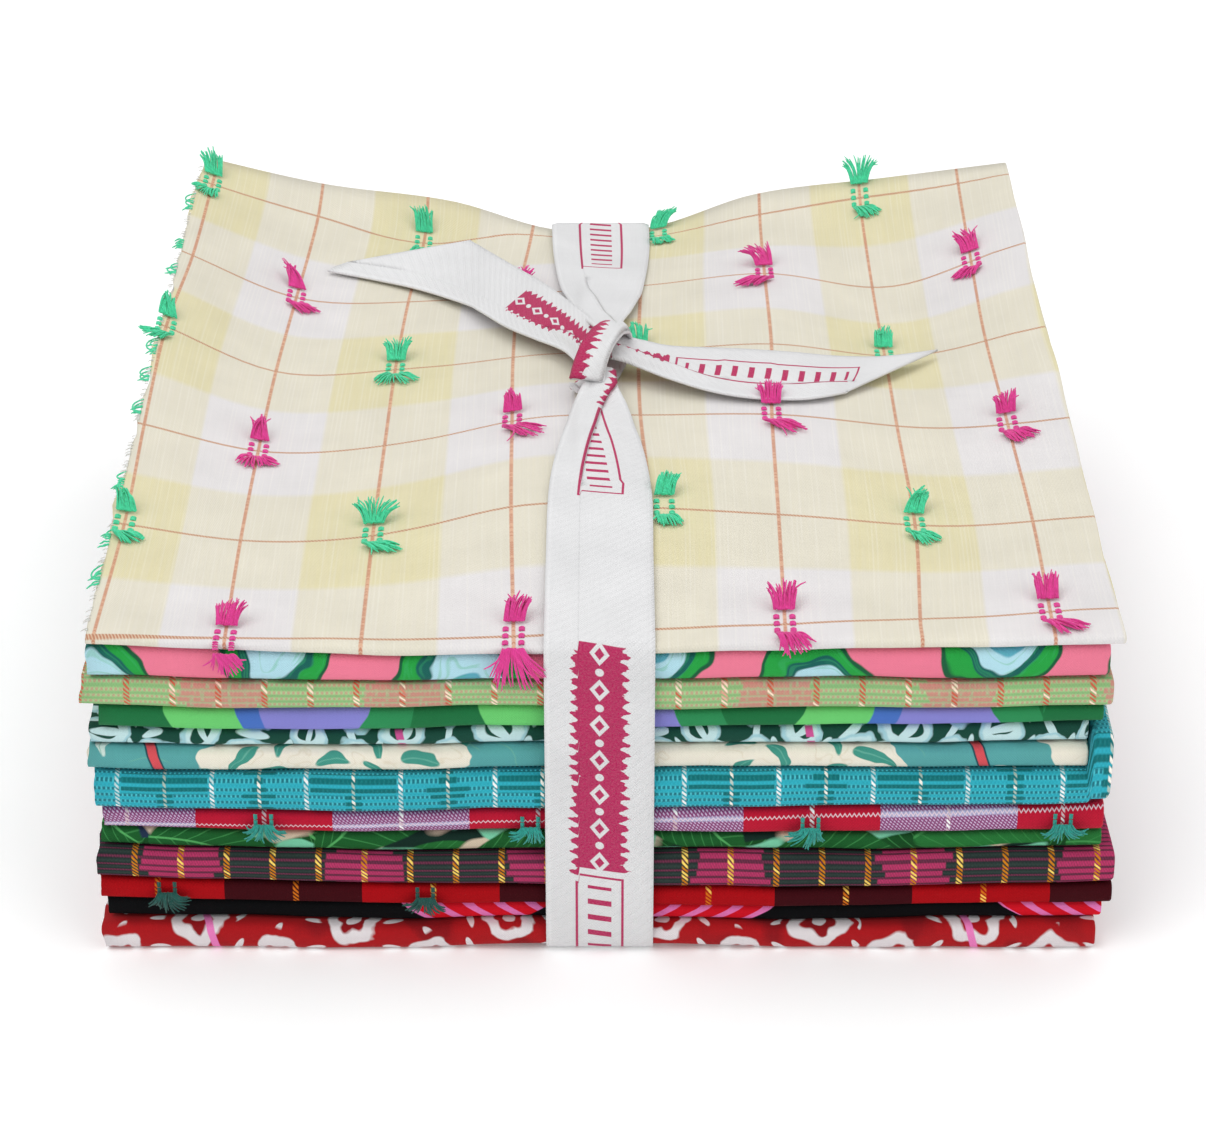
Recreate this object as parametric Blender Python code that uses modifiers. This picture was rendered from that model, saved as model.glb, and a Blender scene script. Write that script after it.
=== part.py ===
"""Thirteen folded cotton cloths in a stack, tied round with one woven tape.

The stack stands on z = 0 with its centre over the origin. +X is the right
side, -Y is the front with the rounded folds, and +Z is up. Every cloth is one
sheet folded back and forth. It is first laid out level, layer over layer, and
then settled: the tie draws the middle of the stack down at the back, the back
corners stand up, and the lowest cloth bridges the tape that passes under it.
"""

import math
from collections import namedtuple

import bmesh
import bpy
from mathutils import Vector

MM = 0.001

# The stack's driving sizes.
STACK_DEPTH = 272 * MM
STACK_HEIGHT = 87 * MM
FRONT = -STACK_DEPTH / 2
CLOTH_GAP = 0.45 * MM
LAYER_GAP = 0.3 * MM
EDGE_DRIFT = 1.0 * MM
RAW_EDGE_STEP = 1.5 * MM
LEVEL_BAND = 6.4 * MM

# The tape's sizes.
TAPE_WIDTH = 25.4 * MM
TAPE_THICK = 1.0 * MM
TAPE_GAP = 0.4 * MM
TAPE_LIFT = TAPE_THICK + TAPE_GAP
TAPE_WHITE = (0.86, 0.86, 0.86)
TAPE_BEND = 3.0 * MM

# One row for each cloth, from the lowest up. Left and right are its side
# edges, nose is how far its front fold stands back from the stack's front,
# tail the same at the back, and band is its thickness at BAND_STATIONS. All
# are in millimetres.
Cloth = namedtuple("Cloth", "name colour layers left right nose tail band")
CLOTHS = (
    Cloth("cloth_13_red_scroll", (0.43, 0.01, 0.02), 4, -118.6, 117.0, 1.0, 2.0, (7.6, 6.5, 6.0, 7.4)),
    Cloth("cloth_12_black_bias", (0.01, 0.01, 0.02), 4, -117.8, 118.5, 3.0, 0.5, (6.5, 5.7, 5.2, 5.5)),
    Cloth("cloth_11_red_block", (0.30, 0.01, 0.01), 4, -119.0, 120.2, 0.6, 3.0, (6.5, 5.9, 5.6, 5.9)),
    Cloth("cloth_10_charcoal_brick", (0.03, 0.04, 0.04), 4, -118.9, 120.4, 0.0, 1.0, (7.8, 8.7, 9.8, 9.4)),
    Cloth("cloth_09_green_leaf", (0.02, 0.12, 0.04), 4, -117.5, 117.3, 2.4, 3.5, (5.6, 6.4, 5.3, 5.4)),
    Cloth("cloth_08_crimson_check", (0.35, 0.02, 0.08), 4, -116.8, 117.3, 1.2, 0.0, (6.1, 6.4, 7.6, 8.2)),
    Cloth("cloth_07_turquoise_brick", (0.03, 0.42, 0.46), 4, -118.3, 118.1, 0.0, 2.0, (9.9, 11.0, 10.4, 9.7)),
    Cloth("cloth_06_teal_bloom", (0.09, 0.34, 0.33), 4, -119.6, 112.6, 2.0, 4.0, (6.3, 6.3, 5.8, 6.1)),
    Cloth("cloth_05_forest_brush", (0.01, 0.08, 0.05), 4, -119.2, 112.4, 3.4, 1.0, (5.2, 5.2, 5.4, 6.4)),
    Cloth("cloth_04_colour_block", (0.05, 0.32, 0.12), 4, -116.3, 115.1, 1.8, 2.5, (6.8, 6.8, 5.6, 5.3)),
    Cloth("cloth_03_sage_brick", (0.25, 0.48, 0.22), 4, -119.7, 116.7, 0.2, 0.5, (7.6, 7.1, 8.0, 7.6)),
    Cloth("cloth_02_pink_ribbon", (0.75, 0.19, 0.28), 4, -117.7, 115.4, 0.8, 3.0, (8.9, 7.4, 7.8, 9.2)),
    Cloth("cloth_01_cream_check", (0.80, 0.74, 0.55), 2, -117.8, 118.7, 0.0, 1.2, (2.9, 3.2, 3.2, 3.0)),
)
BAND_STATIONS = (-104 * MM, -24 * MM, 18 * MM, 92 * MM)

# Where the sheets are cut into facets, across the stack and along it.
ACROSS = (-83 * MM, -45 * MM, -14.5 * MM, 14.5 * MM, 45 * MM, 83 * MM)
ALONG = (-68 * MM, 0.0, 68 * MM)

# Height of the settled top over the stack's front edge, in millimetres, at
# those places and at the stack's nominal edges. Each row is a place from the
# front to the back, each column a place from left to right. Between them the
# top is straight, so sheets whose edges differ a little still run parallel.
RELIEF_ACROSS = (-118 * MM, *ACROSS, 118 * MM)
RELIEF_ALONG = (FRONT, *ALONG, -FRONT)
RELIEF = (
    # left, groove, slope, tape's sides, slope, groove, right
    (-0.2, -2.0, -3.0, -2.6, -2.4, -1.4, -1.2, -0.2),
    (2.2, -4.0, -2.2, 1.4, 1.2, 1.0, -2.2, 0.8),
    (5.2, -5.6, -6.2, -2.6, -1.6, 0.2, -3.0, 2.6),
    (7.0, -7.0, -10.2, -9.6, -8.2, -4.6, -6.4, 4.4),
    (8.8, -3.8, -11.8, -14.2, -13.2, -7.4, -0.8, 8.2),
)

# The tape's way across the top, as distances back from the stack's front, and
# its width there. It is gathered into a pleat where it enters the knot.
TAPE_FRONT_TOP = ((40.0, 25.0), (68.0, 21.6), (98.0, 15.0), (129.5, 10.5))
TAPE_BACK_TOP = ((228.0, 25.4), (204.0, 23.5), (180.0, 16.5), (153.5, 11.0))
PLEAT_RISE = 0.8

# Where the upright stretches of the tape are cut, as shares of their height.
TAPE_SHARES = (0.07, 0.35, 0.65, 0.95)
KNOT_PLACE = (-0.6 * MM, FRONT + 141.5 * MM)
KNOT_SIZE = (17 * MM, 23 * MM, 11 * MM)
KNOT_PINCH = 0.16

# Each row is a cross section of a free tail: its centre line across and back
# from the front, its height over the cloth, its width, the turn of its width
# line from +X, and how far that line is tilted up.
TAIL_LEFT = (
    # across, back, height, width, turn, tilt
    (-10.5, 147.0, 7.5, 13.0, 52.0, 34.0),
    (-18.0, 159.0, 7.5, 18.0, 46.0, 24.0),
    (-29.0, 173.0, 6.0, 23.5, 45.0, 12.0),
    (-42.0, 188.0, 4.5, 25.4, 46.0, 6.0),
    (-53.0, 199.0, 2.6, 25.4, 50.0, 3.0),
    (-64.0, 204.0, 1.2, 15.0, 62.0, 2.0),
    (-74.0, 205.5, 0.9, 2.5, 75.0, 0.0),
)
TAIL_RIGHT = (
    (9.2, 138.5, 7.5, 12.0, 75.0, 40.0),
    (17.0, 135.0, 7.0, 18.0, 68.0, 25.0),
    (27.0, 131.0, 5.5, 24.0, 66.0, 14.0),
    (41.0, 126.0, 4.8, 25.4, 68.0, 10.0),
    (56.0, 121.5, 5.4, 25.4, 72.0, 8.0),
    (69.0, 119.5, 7.6, 22.0, 76.0, 6.0),
    (78.0, 122.0, 9.2, 11.0, 80.0, 4.0),
    (85.0, 127.0, 10.0, 2.5, 85.0, 0.0),
)

# Clipped thread tufts stand on the top cloth where its lines cross. The odd
# lines carry green ones, the even lines pink ones, each on every other row.
TUFT_LINES = (-112.0, -86.5, -54.5, -22.0, 18.2, 43.5, 75.0, 104.0)
TUFT_ROWS = (8.5, 52.0, 103.0, 152.0, 204.0, 247.0)
TUFT_HEAD = (5.0 * MM, 5.6 * MM, 1.1 * MM)
TUFT_LOCK = 5.2 * MM
LOCK_TIP = 0.45
TUFT_LIFT = 0.45 * MM
FRONT_TUFT_SCALE = 0.7
TUFT_GREEN = (0.05, 0.50, 0.27)
TUFT_PINK = (0.75, 0.03, 0.31)

# Tufts on the front folds: the cloth, the colour, the place across in mm.
FRONT_TUFTS = (
    ("cloth_08_crimson_check", (0.02, 0.28, 0.27), -80.0),
    ("cloth_08_crimson_check", (0.02, 0.28, 0.27), -19.0),
    ("cloth_08_crimson_check", (0.02, 0.28, 0.27), 50.0),
    ("cloth_08_crimson_check", (0.02, 0.28, 0.27), 108.0),
    ("cloth_11_red_block", (0.01, 0.12, 0.07), -104.0),
    ("cloth_11_red_block", (0.01, 0.12, 0.07), -43.0),
)


def between(stations, values, at):
    """Straight lines through the values at the stations, and on past the ends."""
    inner = sum(station < at for station in stations[1:-1])
    start, stop = stations[inner], stations[inner + 1]
    part = (at - start) / (stop - start)
    return values[inner] + part * (values[inner + 1] - values[inner])


def roof(x, y):
    """Height of the settled stack's top."""
    rows = [between(RELIEF_ACROSS, row, x) for row in RELIEF]
    return STACK_HEIGHT + between(RELIEF_ALONG, rows, y) * MM


def floor(x):
    """Height of the stack's underside, which bridges the tape in the middle."""
    off_tape = (abs(x) - ACROSS[3]) / (ACROSS[4] - ACROSS[3])
    return TAPE_LIFT * min(max(1.0 - off_tape, 0.0), 1.0)


def band_level(index, x):
    """How far up the stack a cloth begins, from 0 at the bottom to 1."""
    thicknesses = [between(BAND_STATIONS, cloth.band, x) for cloth in CLOTHS]
    return sum(thicknesses[:index]) / sum(thicknesses)


def settled(index, x, y, level):
    """Height of a point at a level from 0 to 1 within one cloth's band."""
    low, high = floor(x), roof(x, y)
    under = low + band_level(index, x) * (high - low)
    over = low + band_level(index + 1, x) * (high - low)
    if index > 0:
        under += CLOTH_GAP / 2
    if index < len(CLOTHS) - 1:
        over -= CLOTH_GAP / 2
    return under + level * (over - under)


def make_material(name, colour, roughness=0.9):
    material = bpy.data.materials.new(name)
    material.use_nodes = True
    shader = material.node_tree.nodes["Principled BSDF"]
    shader.inputs["Base Color"].default_value = (*colour, 1.0)
    shader.inputs["Roughness"].default_value = roughness
    shader.inputs["Metallic"].default_value = 0.0
    return material


def add_object(name, bm, colour, smooth=True):
    mesh = bpy.data.meshes.new(name)
    bm.to_mesh(mesh)
    bm.free()
    mesh.materials.append(make_material(name, colour))
    if smooth:
        mesh.shade_smooth()
    obj = bpy.data.objects.new(name, mesh)
    bundle.objects.link(obj)
    return obj


def thicken(obj, thickness):
    """Gives an open sheet its thickness, half on each side, and keeps the result."""
    modifier = obj.modifiers.new("Thickness", "SOLIDIFY")
    modifier.thickness = thickness
    modifier.offset = 0.0
    modifier.use_even_offset = True
    depsgraph = bpy.context.evaluated_depsgraph_get()
    thick = bpy.data.meshes.new_from_object(obj.evaluated_get(depsgraph))
    obj.modifiers.clear()
    old = obj.data
    obj.data = thick
    bpy.data.meshes.remove(old)
    obj.data.name = obj.name


def turn(centre_y, centre_z, radius, steps, start, stop):
    """Points round a fold, without its first and last."""
    points = []
    for step in range(1, steps):
        angle = math.radians(start + (stop - start) * step / steps)
        points.append((centre_y + radius * math.cos(angle), centre_z + radius * math.sin(angle)))
    return points


def fold_line(layers, thickness, gap, front, back):
    """The level section of a folded sheet, as (y, z) along its middle line.

    Two layers are one fold at the front. Four are a sheet folded twice: the
    outer fold at the front wraps the inner one, and the lower pair of layers
    is joined by a fold at the back.
    """
    pitch = thickness + gap
    base = thickness / 2
    nose_y = front + (layers - 1) * pitch / 2 + thickness / 2
    outer_z = base + (layers - 1) * pitch / 2
    stops = list(ALONG)
    top = base + (layers - 1) * pitch
    line = [(back, top)]
    line += [(y, top) for y in reversed(stops)]
    line.append((nose_y, top))
    line += turn(nose_y, outer_z, (layers - 1) * pitch / 2, 6 if layers == 4 else 5, 90, 270)
    line.append((nose_y, base))
    line += [(y, base) for y in stops]
    if layers == 2:
        line.append((back - RAW_EDGE_STEP, base))
        return line
    hinge_y = back - pitch
    line.append((hinge_y, base))
    line += turn(hinge_y, base + pitch / 2, pitch / 2, 3, -90, 90)
    line.append((hinge_y, base + pitch))
    line += [(y, base + pitch) for y in reversed(stops)]
    line.append((nose_y, base + pitch))
    line += turn(nose_y, base + 1.5 * pitch, pitch / 2, 3, 270, 90)
    line.append((nose_y, base + 2 * pitch))
    line += [(y, base + 2 * pitch) for y in stops]
    line.append((back - RAW_EDGE_STEP, base + 2 * pitch))
    return line


def sheet_grid(line, stations):
    """An open grid along the fold line, cut along one diagonal.

    The diagonal always runs towards the right and back, whichever way the
    sheet is going, so that the facets of all layers stay parallel.
    """
    bm = bmesh.new()
    steps, strips = len(line) - 1, len(stations) - 1
    bmesh.ops.create_grid(bm, x_segments=steps, y_segments=strips, size=1.0)
    at = {}
    for vert in bm.verts:
        step = round((vert.co.x + 1) / 2 * steps)
        strip = round((vert.co.y + 1) / 2 * strips)
        at[step, strip] = vert
        y, z = line[step]
        x = stations[strip]
        if strip in (0, strips):
            x += EDGE_DRIFT * math.sin(5 * z / LEVEL_BAND + len(line) * stations[0] / MM)
        vert.co = (x, y, z)
    bm.faces.ensure_lookup_table()
    for step in range(steps):
        goes_back = line[step + 1][0] > line[step][0]
        front_step, back_step = (step, step + 1) if goes_back else (step + 1, step)
        for strip in range(strips):
            ends = (at[front_step, strip], at[back_step, strip + 1])
            face = next(face for face in ends[0].link_faces if face in ends[1].link_faces)
            bmesh.utils.face_split(face, *ends)
    return bm


def add_cloth(index, cloth):
    gap = LAYER_GAP * 4 / cloth.layers
    thickness = (LEVEL_BAND - (cloth.layers - 1) * gap) / cloth.layers
    front, back = FRONT + cloth.nose * MM, -FRONT - cloth.tail * MM
    line = fold_line(cloth.layers, thickness, gap, front, back)
    stations = (cloth.left * MM, *ACROSS, cloth.right * MM)
    obj = add_object(cloth.name, sheet_grid(line, stations), cloth.colour)
    thicken(obj, thickness)
    for vert in obj.data.vertices:
        x, y, z = vert.co
        vert.co.z = settled(index, x, y, z / LEVEL_BAND)
    return obj


def tape_strip(name, sections):
    """A strip of tape through cross sections, each a list of points."""
    bm = bmesh.new()
    steps, strips = len(sections) - 1, len(sections[0]) - 1
    bmesh.ops.create_grid(bm, x_segments=steps, y_segments=strips, size=1.0)
    for vert in bm.verts:
        step = round((vert.co.x + 1) / 2 * steps)
        strip = round((vert.co.y + 1) / 2 * strips)
        vert.co = sections[step][strip]
    obj = add_object(name, bm, TAPE_WHITE)
    thicken(obj, TAPE_THICK)
    return obj


def top_height(top, x, y):
    """Height of the top cloth's facets, or level with them past its edge."""
    hit, place, _, _ = top.ray_cast(Vector((x, y, 1.0)), Vector((0, 0, -1)))
    return place.z if hit else roof(x, y)


def front_depth(cloths, x, low, high):
    """How far forward the folded fronts reach between two heights."""
    hits = []
    for cloth in cloths:
        for step in range(9):
            eye = Vector((x, -1.0, low + (high - low) * step / 8))
            hit, place, _, _ = cloth.ray_cast(eye, Vector((0, 1, 0)))
            if hit:
                hits.append(place.y)
    return min(hits)


def pleated_section(top, back, width):
    """A section across the top, raised in pleats where the tape is gathered.

    Half the tape's thickness, measured down at a crease, grows with the
    steepness of the flanks on each side of it.
    """
    y = FRONT + back * MM
    reach = width * MM / 4
    rise = PLEAT_RISE * math.sqrt(max((TAPE_WIDTH / 4) ** 2 - reach**2, 0.0))
    under = TAPE_THICK / 2 * math.hypot(reach, rise) / reach
    section = []
    for number in range(5):
        x = KNOT_PLACE[0] * (1 - width * MM / TAPE_WIDTH) + (number - 2) * reach
        clear = max(top_height(top, x + step * reach / 2, y) for step in (-1, 0, 1))
        lift = rise if number in (1, 3) else 0.0
        section.append(Vector((x, y, clear + TAPE_GAP + under + lift)))
    return section


def flat_section(y, z):
    return [Vector(((number - 2) * TAPE_WIDTH / 4, y, z)) for number in range(5)]


def add_band(top):
    """The tie round the stack, from the knot forward, under and up the back."""
    half = TAPE_THICK / 2
    reach = -FRONT + TAPE_GAP + half
    heights = []
    for y in (FRONT + TAPE_BEND, -FRONT - TAPE_BEND):
        rim = max(top_height(top, side * TAPE_WIDTH / 2, y) for side in (-1, 0, 1))
        heights.append(rim + TAPE_GAP + half)
    front_top, back_top = heights
    sections = [pleated_section(top, *stop) for stop in reversed(TAPE_FRONT_TOP)]
    sections.append(flat_section(FRONT + TAPE_BEND, front_top + 0.3 * MM))
    sections.append(flat_section(-reach + 0.6 * MM, front_top - 1.0 * MM))
    sections += [flat_section(-reach, front_top * share) for share in reversed(TAPE_SHARES)]
    sections.append(flat_section(-reach + 1.2 * MM, half + 1.0 * MM))
    sections.append(flat_section(-reach + 4.0 * MM, half))
    sections += [flat_section(y, half) for y in ALONG]
    sections.append(flat_section(reach - 4.0 * MM, half))
    sections.append(flat_section(reach - 1.2 * MM, half + 1.0 * MM))
    sections += [flat_section(reach, back_top * share) for share in TAPE_SHARES]
    sections.append(flat_section(reach - 0.2 * MM, back_top - 0.6 * MM))
    sections.append(flat_section(-FRONT - TAPE_BEND, back_top + 0.6 * MM))
    sections += [pleated_section(top, *stop) for stop in TAPE_BACK_TOP]
    return tape_strip("tape_band", sections)


def add_tail(top, name, rows):
    sections = []
    for across, back, height, width, turned, tilt in rows:
        x, y = across * MM, FRONT + back * MM
        turned, tilt = math.radians(turned), math.radians(tilt)
        level = Vector((math.cos(turned), math.sin(turned), 0.0)) * math.cos(tilt)
        side = level + Vector((0.0, 0.0, math.sin(tilt)))
        section = []
        for number in range(4):
            shift = side * (number / 3 - 0.5) * width * MM
            place = Vector((x + shift.x, y + shift.y, 0.0))
            ground = top_height(top, place.x, place.y) + TAPE_GAP + TAPE_THICK / 2
            place.z = max(ground, top_height(top, x, y) + height * MM + shift.z)
            section.append(place)
        sections.append(section)
    return tape_strip(name, sections)


def add_knot(top):
    """One wrapped turn of the tape, as a squat ball pinched round its waist."""
    bm = bmesh.new()
    bmesh.ops.create_uvsphere(bm, u_segments=14, v_segments=9, radius=0.5)
    base = top_height(top, *KNOT_PLACE) + TAPE_GAP
    for vert in bm.verts:
        x, y, z = vert.co
        waist = 1.0 - KNOT_PINCH * math.exp(-((y / 0.16) ** 2))
        vert.co.x = KNOT_PLACE[0] + x * waist * KNOT_SIZE[0]
        vert.co.y = KNOT_PLACE[1] + y * KNOT_SIZE[1]
        vert.co.z = base + (z + 0.5) * KNOT_SIZE[2]
    return add_object("tape_knot", bm, TAPE_WHITE)


def tuft_mesh(spread, scale=1.0):
    """A flat woven head with three tapered locks drawn from each end."""
    bm = bmesh.new()
    bmesh.ops.create_cube(bm, size=1.0)
    for cut in (-1 / 6, 1 / 6):
        geometry = [*bm.verts, *bm.edges, *bm.faces]
        bmesh.ops.bisect_plane(bm, geom=geometry, plane_co=(cut, 0, 0), plane_no=(1, 0, 0))
    bm.normal_update()
    ends = [face for face in bm.faces if abs(face.normal.y) > 0.9]
    bmesh.ops.translate(bm, verts=bm.verts, vec=(0, 0, 0.5))
    bmesh.ops.scale(bm, verts=bm.verts, vec=TUFT_HEAD)
    for face in ends:
        out = 1 if face.normal.y > 0 else -1
        lean = face.calc_center_median().x / TUFT_HEAD[0] * 3
        lock = bmesh.ops.extrude_discrete_faces(bm, faces=[face])["faces"][0]
        bmesh.ops.translate(bm, verts=lock.verts, vec=(lean * spread * TUFT_LOCK, out * TUFT_LOCK, 0))
        middle = lock.calc_center_median()
        for vert in lock.verts:
            vert.co = middle + (vert.co - middle) * LOCK_TIP
    bmesh.ops.scale(bm, verts=bm.verts, vec=(scale, scale, 1.0))
    return bm


def add_top_tufts(top):
    """Tufts laid on the top cloth's facets, in turn green and pink."""
    count = 0
    for line, across in enumerate(TUFT_LINES):
        for row, back in enumerate(TUFT_ROWS):
            if (line + row) % 2 == 0:
                continue
            count += 1
            beside_tape = abs(across) < TAPE_WIDTH / MM
            spread = 0.1 if beside_tape else 0.35 + 0.15 * math.sin(2.1 * count)
            bm = tuft_mesh(spread)
            for vert in bm.verts:
                vert.co.x += across * MM
                vert.co.y += FRONT + back * MM
                vert.co.z += top_height(top, vert.co.x, vert.co.y) + TUFT_LIFT
            colour = TUFT_GREEN if line % 2 == 0 else TUFT_PINK
            add_object(f"tuft_top_{count:02d}", bm, colour, smooth=False)


def add_front_tufts(cloths):
    """Smaller tufts that stand before the folded fronts of two of the cloths."""
    names = [cloth.name for cloth in CLOTHS]
    half = FRONT_TUFT_SCALE * (TUFT_HEAD[1] / 2 + TUFT_LOCK)
    for number, (cloth, colour, across) in enumerate(FRONT_TUFTS):
        middle = settled(names.index(cloth), across * MM, FRONT, 0.5)
        front = front_depth(cloths, across * MM, middle - half, middle + half) - TUFT_LIFT
        bm = tuft_mesh(0.15, FRONT_TUFT_SCALE)
        for vert in bm.verts:
            x, up, out = vert.co
            vert.co = (across * MM + x, front - out, middle + up)
        add_object(f"tuft_front_{number + 1}", bm, colour, smooth=False)


def main():
    for obj in list(bpy.data.objects):
        bpy.data.objects.remove(obj)
    bpy.context.scene.collection.children.link(bundle)
    cloths = [add_cloth(index, cloth) for index, cloth in enumerate(CLOTHS)]
    bpy.context.view_layer.update()
    top = cloths[-1]
    add_band(top)
    add_knot(top)
    add_tail(top, "tape_tail_left", TAIL_LEFT)
    add_tail(top, "tape_tail_right", TAIL_RIGHT)
    add_top_tufts(top)
    add_front_tufts(cloths)


bundle = bpy.data.collections.new("fabric_bundle")
main()
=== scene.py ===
# %% [markdown]
# # A tied bundle of folded cottons
#
# Thirteen cuts of patterned cotton are folded to one size, stacked with their
# rounded folds to the front, and tied round with a printed cotton tape. The
# cloths are soft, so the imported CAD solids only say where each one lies. This
# lesson lays a thin sheet in the place of each solid, folds it the same way,
# and then gives it the weave or print that it has.

# %% Load the frame
import itertools
import math
import random

import bmesh
import bpy
import numpy as np
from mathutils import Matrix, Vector


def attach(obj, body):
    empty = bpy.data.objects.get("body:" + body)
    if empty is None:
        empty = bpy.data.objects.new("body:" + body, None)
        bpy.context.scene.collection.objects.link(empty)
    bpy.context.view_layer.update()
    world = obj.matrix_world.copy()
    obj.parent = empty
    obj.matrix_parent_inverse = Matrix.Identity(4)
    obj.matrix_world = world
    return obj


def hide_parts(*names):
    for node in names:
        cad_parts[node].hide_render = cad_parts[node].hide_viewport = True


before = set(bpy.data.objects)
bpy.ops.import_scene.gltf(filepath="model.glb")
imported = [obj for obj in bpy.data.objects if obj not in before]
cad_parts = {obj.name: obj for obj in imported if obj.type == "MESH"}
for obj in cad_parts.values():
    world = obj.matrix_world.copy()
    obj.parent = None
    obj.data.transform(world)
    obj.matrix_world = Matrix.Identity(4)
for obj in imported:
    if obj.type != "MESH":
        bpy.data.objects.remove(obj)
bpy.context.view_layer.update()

MM = 0.001
print("CAD nodes:", len(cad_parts))

# %% [markdown]
# ## Where the camera stands
#
# The bundle was photographed from in front and a little above, with a long
# lens. The width of its front against its back gives the lens and the distance,
# and the depth that the top seems to have gives the tilt. The picture is not
# cropped off centre, so the lens needs no shift.

# %% Place the camera
STACK_DEPTH = 272 * MM
STACK_HEIGHT = 87 * MM
FRONT = -STACK_DEPTH / 2
CAMERA_TILT = 28.5
CAMERA_BACK = 675.7 * MM
CAMERA_UP = 384.7 * MM
SENSOR_WIDTH = 36
LENS = 102.3
NEAR_CLIP = 0.05

eye = bpy.data.cameras.new("eye")
eye.sensor_width, eye.lens, eye.clip_start = SENSOR_WIDTH, LENS, NEAR_CLIP
camera = bpy.data.objects.new("camera", eye)
camera.location = (0, FRONT - CAMERA_BACK, STACK_HEIGHT + CAMERA_UP)
camera.rotation_euler = (math.radians(90 - CAMERA_TILT), 0, 0)
bpy.context.scene.collection.objects.link(camera)
bpy.context.scene.camera = camera
print("camera at", tuple(round(part, 3) for part in camera.location))

# %% [markdown]
# ## A pale table and soft light
#
# The photograph is a bright cut-out with almost no shadow. Large area lights on
# both sides and above give the same even light, and leave only the thin dark
# lines where one fold rests on the next. The plain view transform keeps dyed
# colours as strong as they are.


# %% Lay the floor and set the lights
def dye(red, green, blue):
    """A colour as a screen shows it, from 0 to 255, made ready for a shader."""
    shares = [part / 255 for part in (red, green, blue)]
    return tuple(s / 12.92 if s <= 0.04045 else ((s + 0.055) / 1.055) ** 2.4 for s in shares)


# Lights, all turned to one point: place and size in metres, and power.
LIGHTS = (
    ("key_light", (-0.65, -0.7, 1.35), 1.1, 8.2),
    ("fill_light", (0.95, -0.75, 0.95), 1.2, 4.0),
    ("top_light", (0.1, 0.4, 1.4), 1.2, 5.5),
)
LIT_POINT = Vector((0, 0, 0.05))
ROOM_STRENGTH = 0.6
TABLE_SIZE = 40.0

for name, place, size, power in LIGHTS:
    lamp = bpy.data.lights.new(name, "AREA")
    lamp.size, lamp.energy = size, power
    light = bpy.data.objects.new(name, lamp)
    light.location = place
    light.rotation_euler = (LIT_POINT - light.location).to_track_quat("-Z", "Y").to_euler()
    bpy.context.scene.collection.objects.link(light)

world = bpy.data.worlds.new("pale_room")
world.use_nodes = True
world.node_tree.nodes["Background"].inputs["Color"].default_value = (1, 1, 1, 1)
world.node_tree.nodes["Background"].inputs["Strength"].default_value = ROOM_STRENGTH
bpy.context.scene.world = world
bpy.context.scene.view_settings.view_transform = "Standard"

bpy.ops.mesh.primitive_plane_add(size=TABLE_SIZE)
table = bpy.context.object
table.name = "table_top"
print("lights:", len(LIGHTS))

# %% [markdown]
# ## How the stack has settled
#
# The tie presses the middle of the stack down, most of all at the back, and the
# back corners stand up. A grid of measured heights describes that top, and each
# cloth takes its own share of the height under it. A smooth curve through the
# stations gives every place between them, and goes on straight past the ends.


# %% Draw smooth curves through stations
def curve_weights(stations, at):
    """What each station's value counts for, in a smooth curve through them all."""
    stations, at = np.asarray(stations, float), np.asarray(at, float).ravel()
    count = len(stations)
    slopes = np.zeros((count, count))
    for number in range(count):
        before, after = max(number - 1, 0), min(number + 1, count - 1)
        slopes[number, after] += 1 / (stations[after] - stations[before])
        slopes[number, before] -= 1 / (stations[after] - stations[before])
    inside = np.clip(at, stations[0], stations[-1])
    span = np.clip(np.searchsorted(stations, inside, side="right") - 1, 0, count - 2)
    width = (stations[span + 1] - stations[span])[:, None]
    t = (inside - stations[span])[:, None] / width
    square, cube, values = t**2, t**3, np.eye(count)
    weights = (2 * cube - 3 * square + 1) * values[span] + (3 * square - 2 * cube) * values[span + 1]
    weights += width * ((cube - 2 * square + t) * slopes[span] + (cube - square) * slopes[span + 1])
    ends = np.where(at < inside, 0, count - 1)
    return weights + (at - inside)[:, None] * slopes[ends]


print("halfway between 0 and 1 a curve gives", curve_weights((0, 1), 0.5) @ (0, 1))

# %% Describe the settled top
RELIEF_ACROSS = np.array((-118, -83, -45, -14.5, 14.5, 45, 83, 118)) * MM
RELIEF_ALONG = np.array((-136, -68, 0, 68, 118, 136)) * MM
# Height over the front edge in millimetres: rows go from the front to the back.
RELIEF = np.array((
    (-0.2, -2.0, -3.0, -2.6, -2.4, -1.4, -1.2, -0.2),
    (2.2, -4.0, -2.2, 1.4, 1.2, 1.0, -2.2, 0.8),
    (5.2, -5.6, -6.2, -2.6, -1.6, 0.2, -3.0, 2.6),
    (7.0, -7.0, -10.2, -9.6, -8.2, -4.6, -6.4, 4.4),
    (8.3, -4.7, -11.5, -13.2, -12.2, -6.9, -2.4, 6.6),
    (8.8, 0.6, -4.8, -14.6, -13.8, -2.8, 2.4, 6.8),
)) * MM


def roof(x, y):
    """Height of the settled stack's top."""
    x, y = np.broadcast_arrays(np.asarray(x, float), np.asarray(y, float))
    rows = curve_weights(RELIEF_ACROSS, x) @ RELIEF.T
    heights = (curve_weights(RELIEF_ALONG, y) * rows).sum(axis=1)
    return STACK_HEIGHT + heights.reshape(x.shape)


def smooth_step(low, high, at):
    """Goes softly from 0 at the low limit to 1 at the high one."""
    part = np.clip((at - low) / (high - low), 0.0, 1.0)
    return part * part * (3 - 2 * part)


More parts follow.
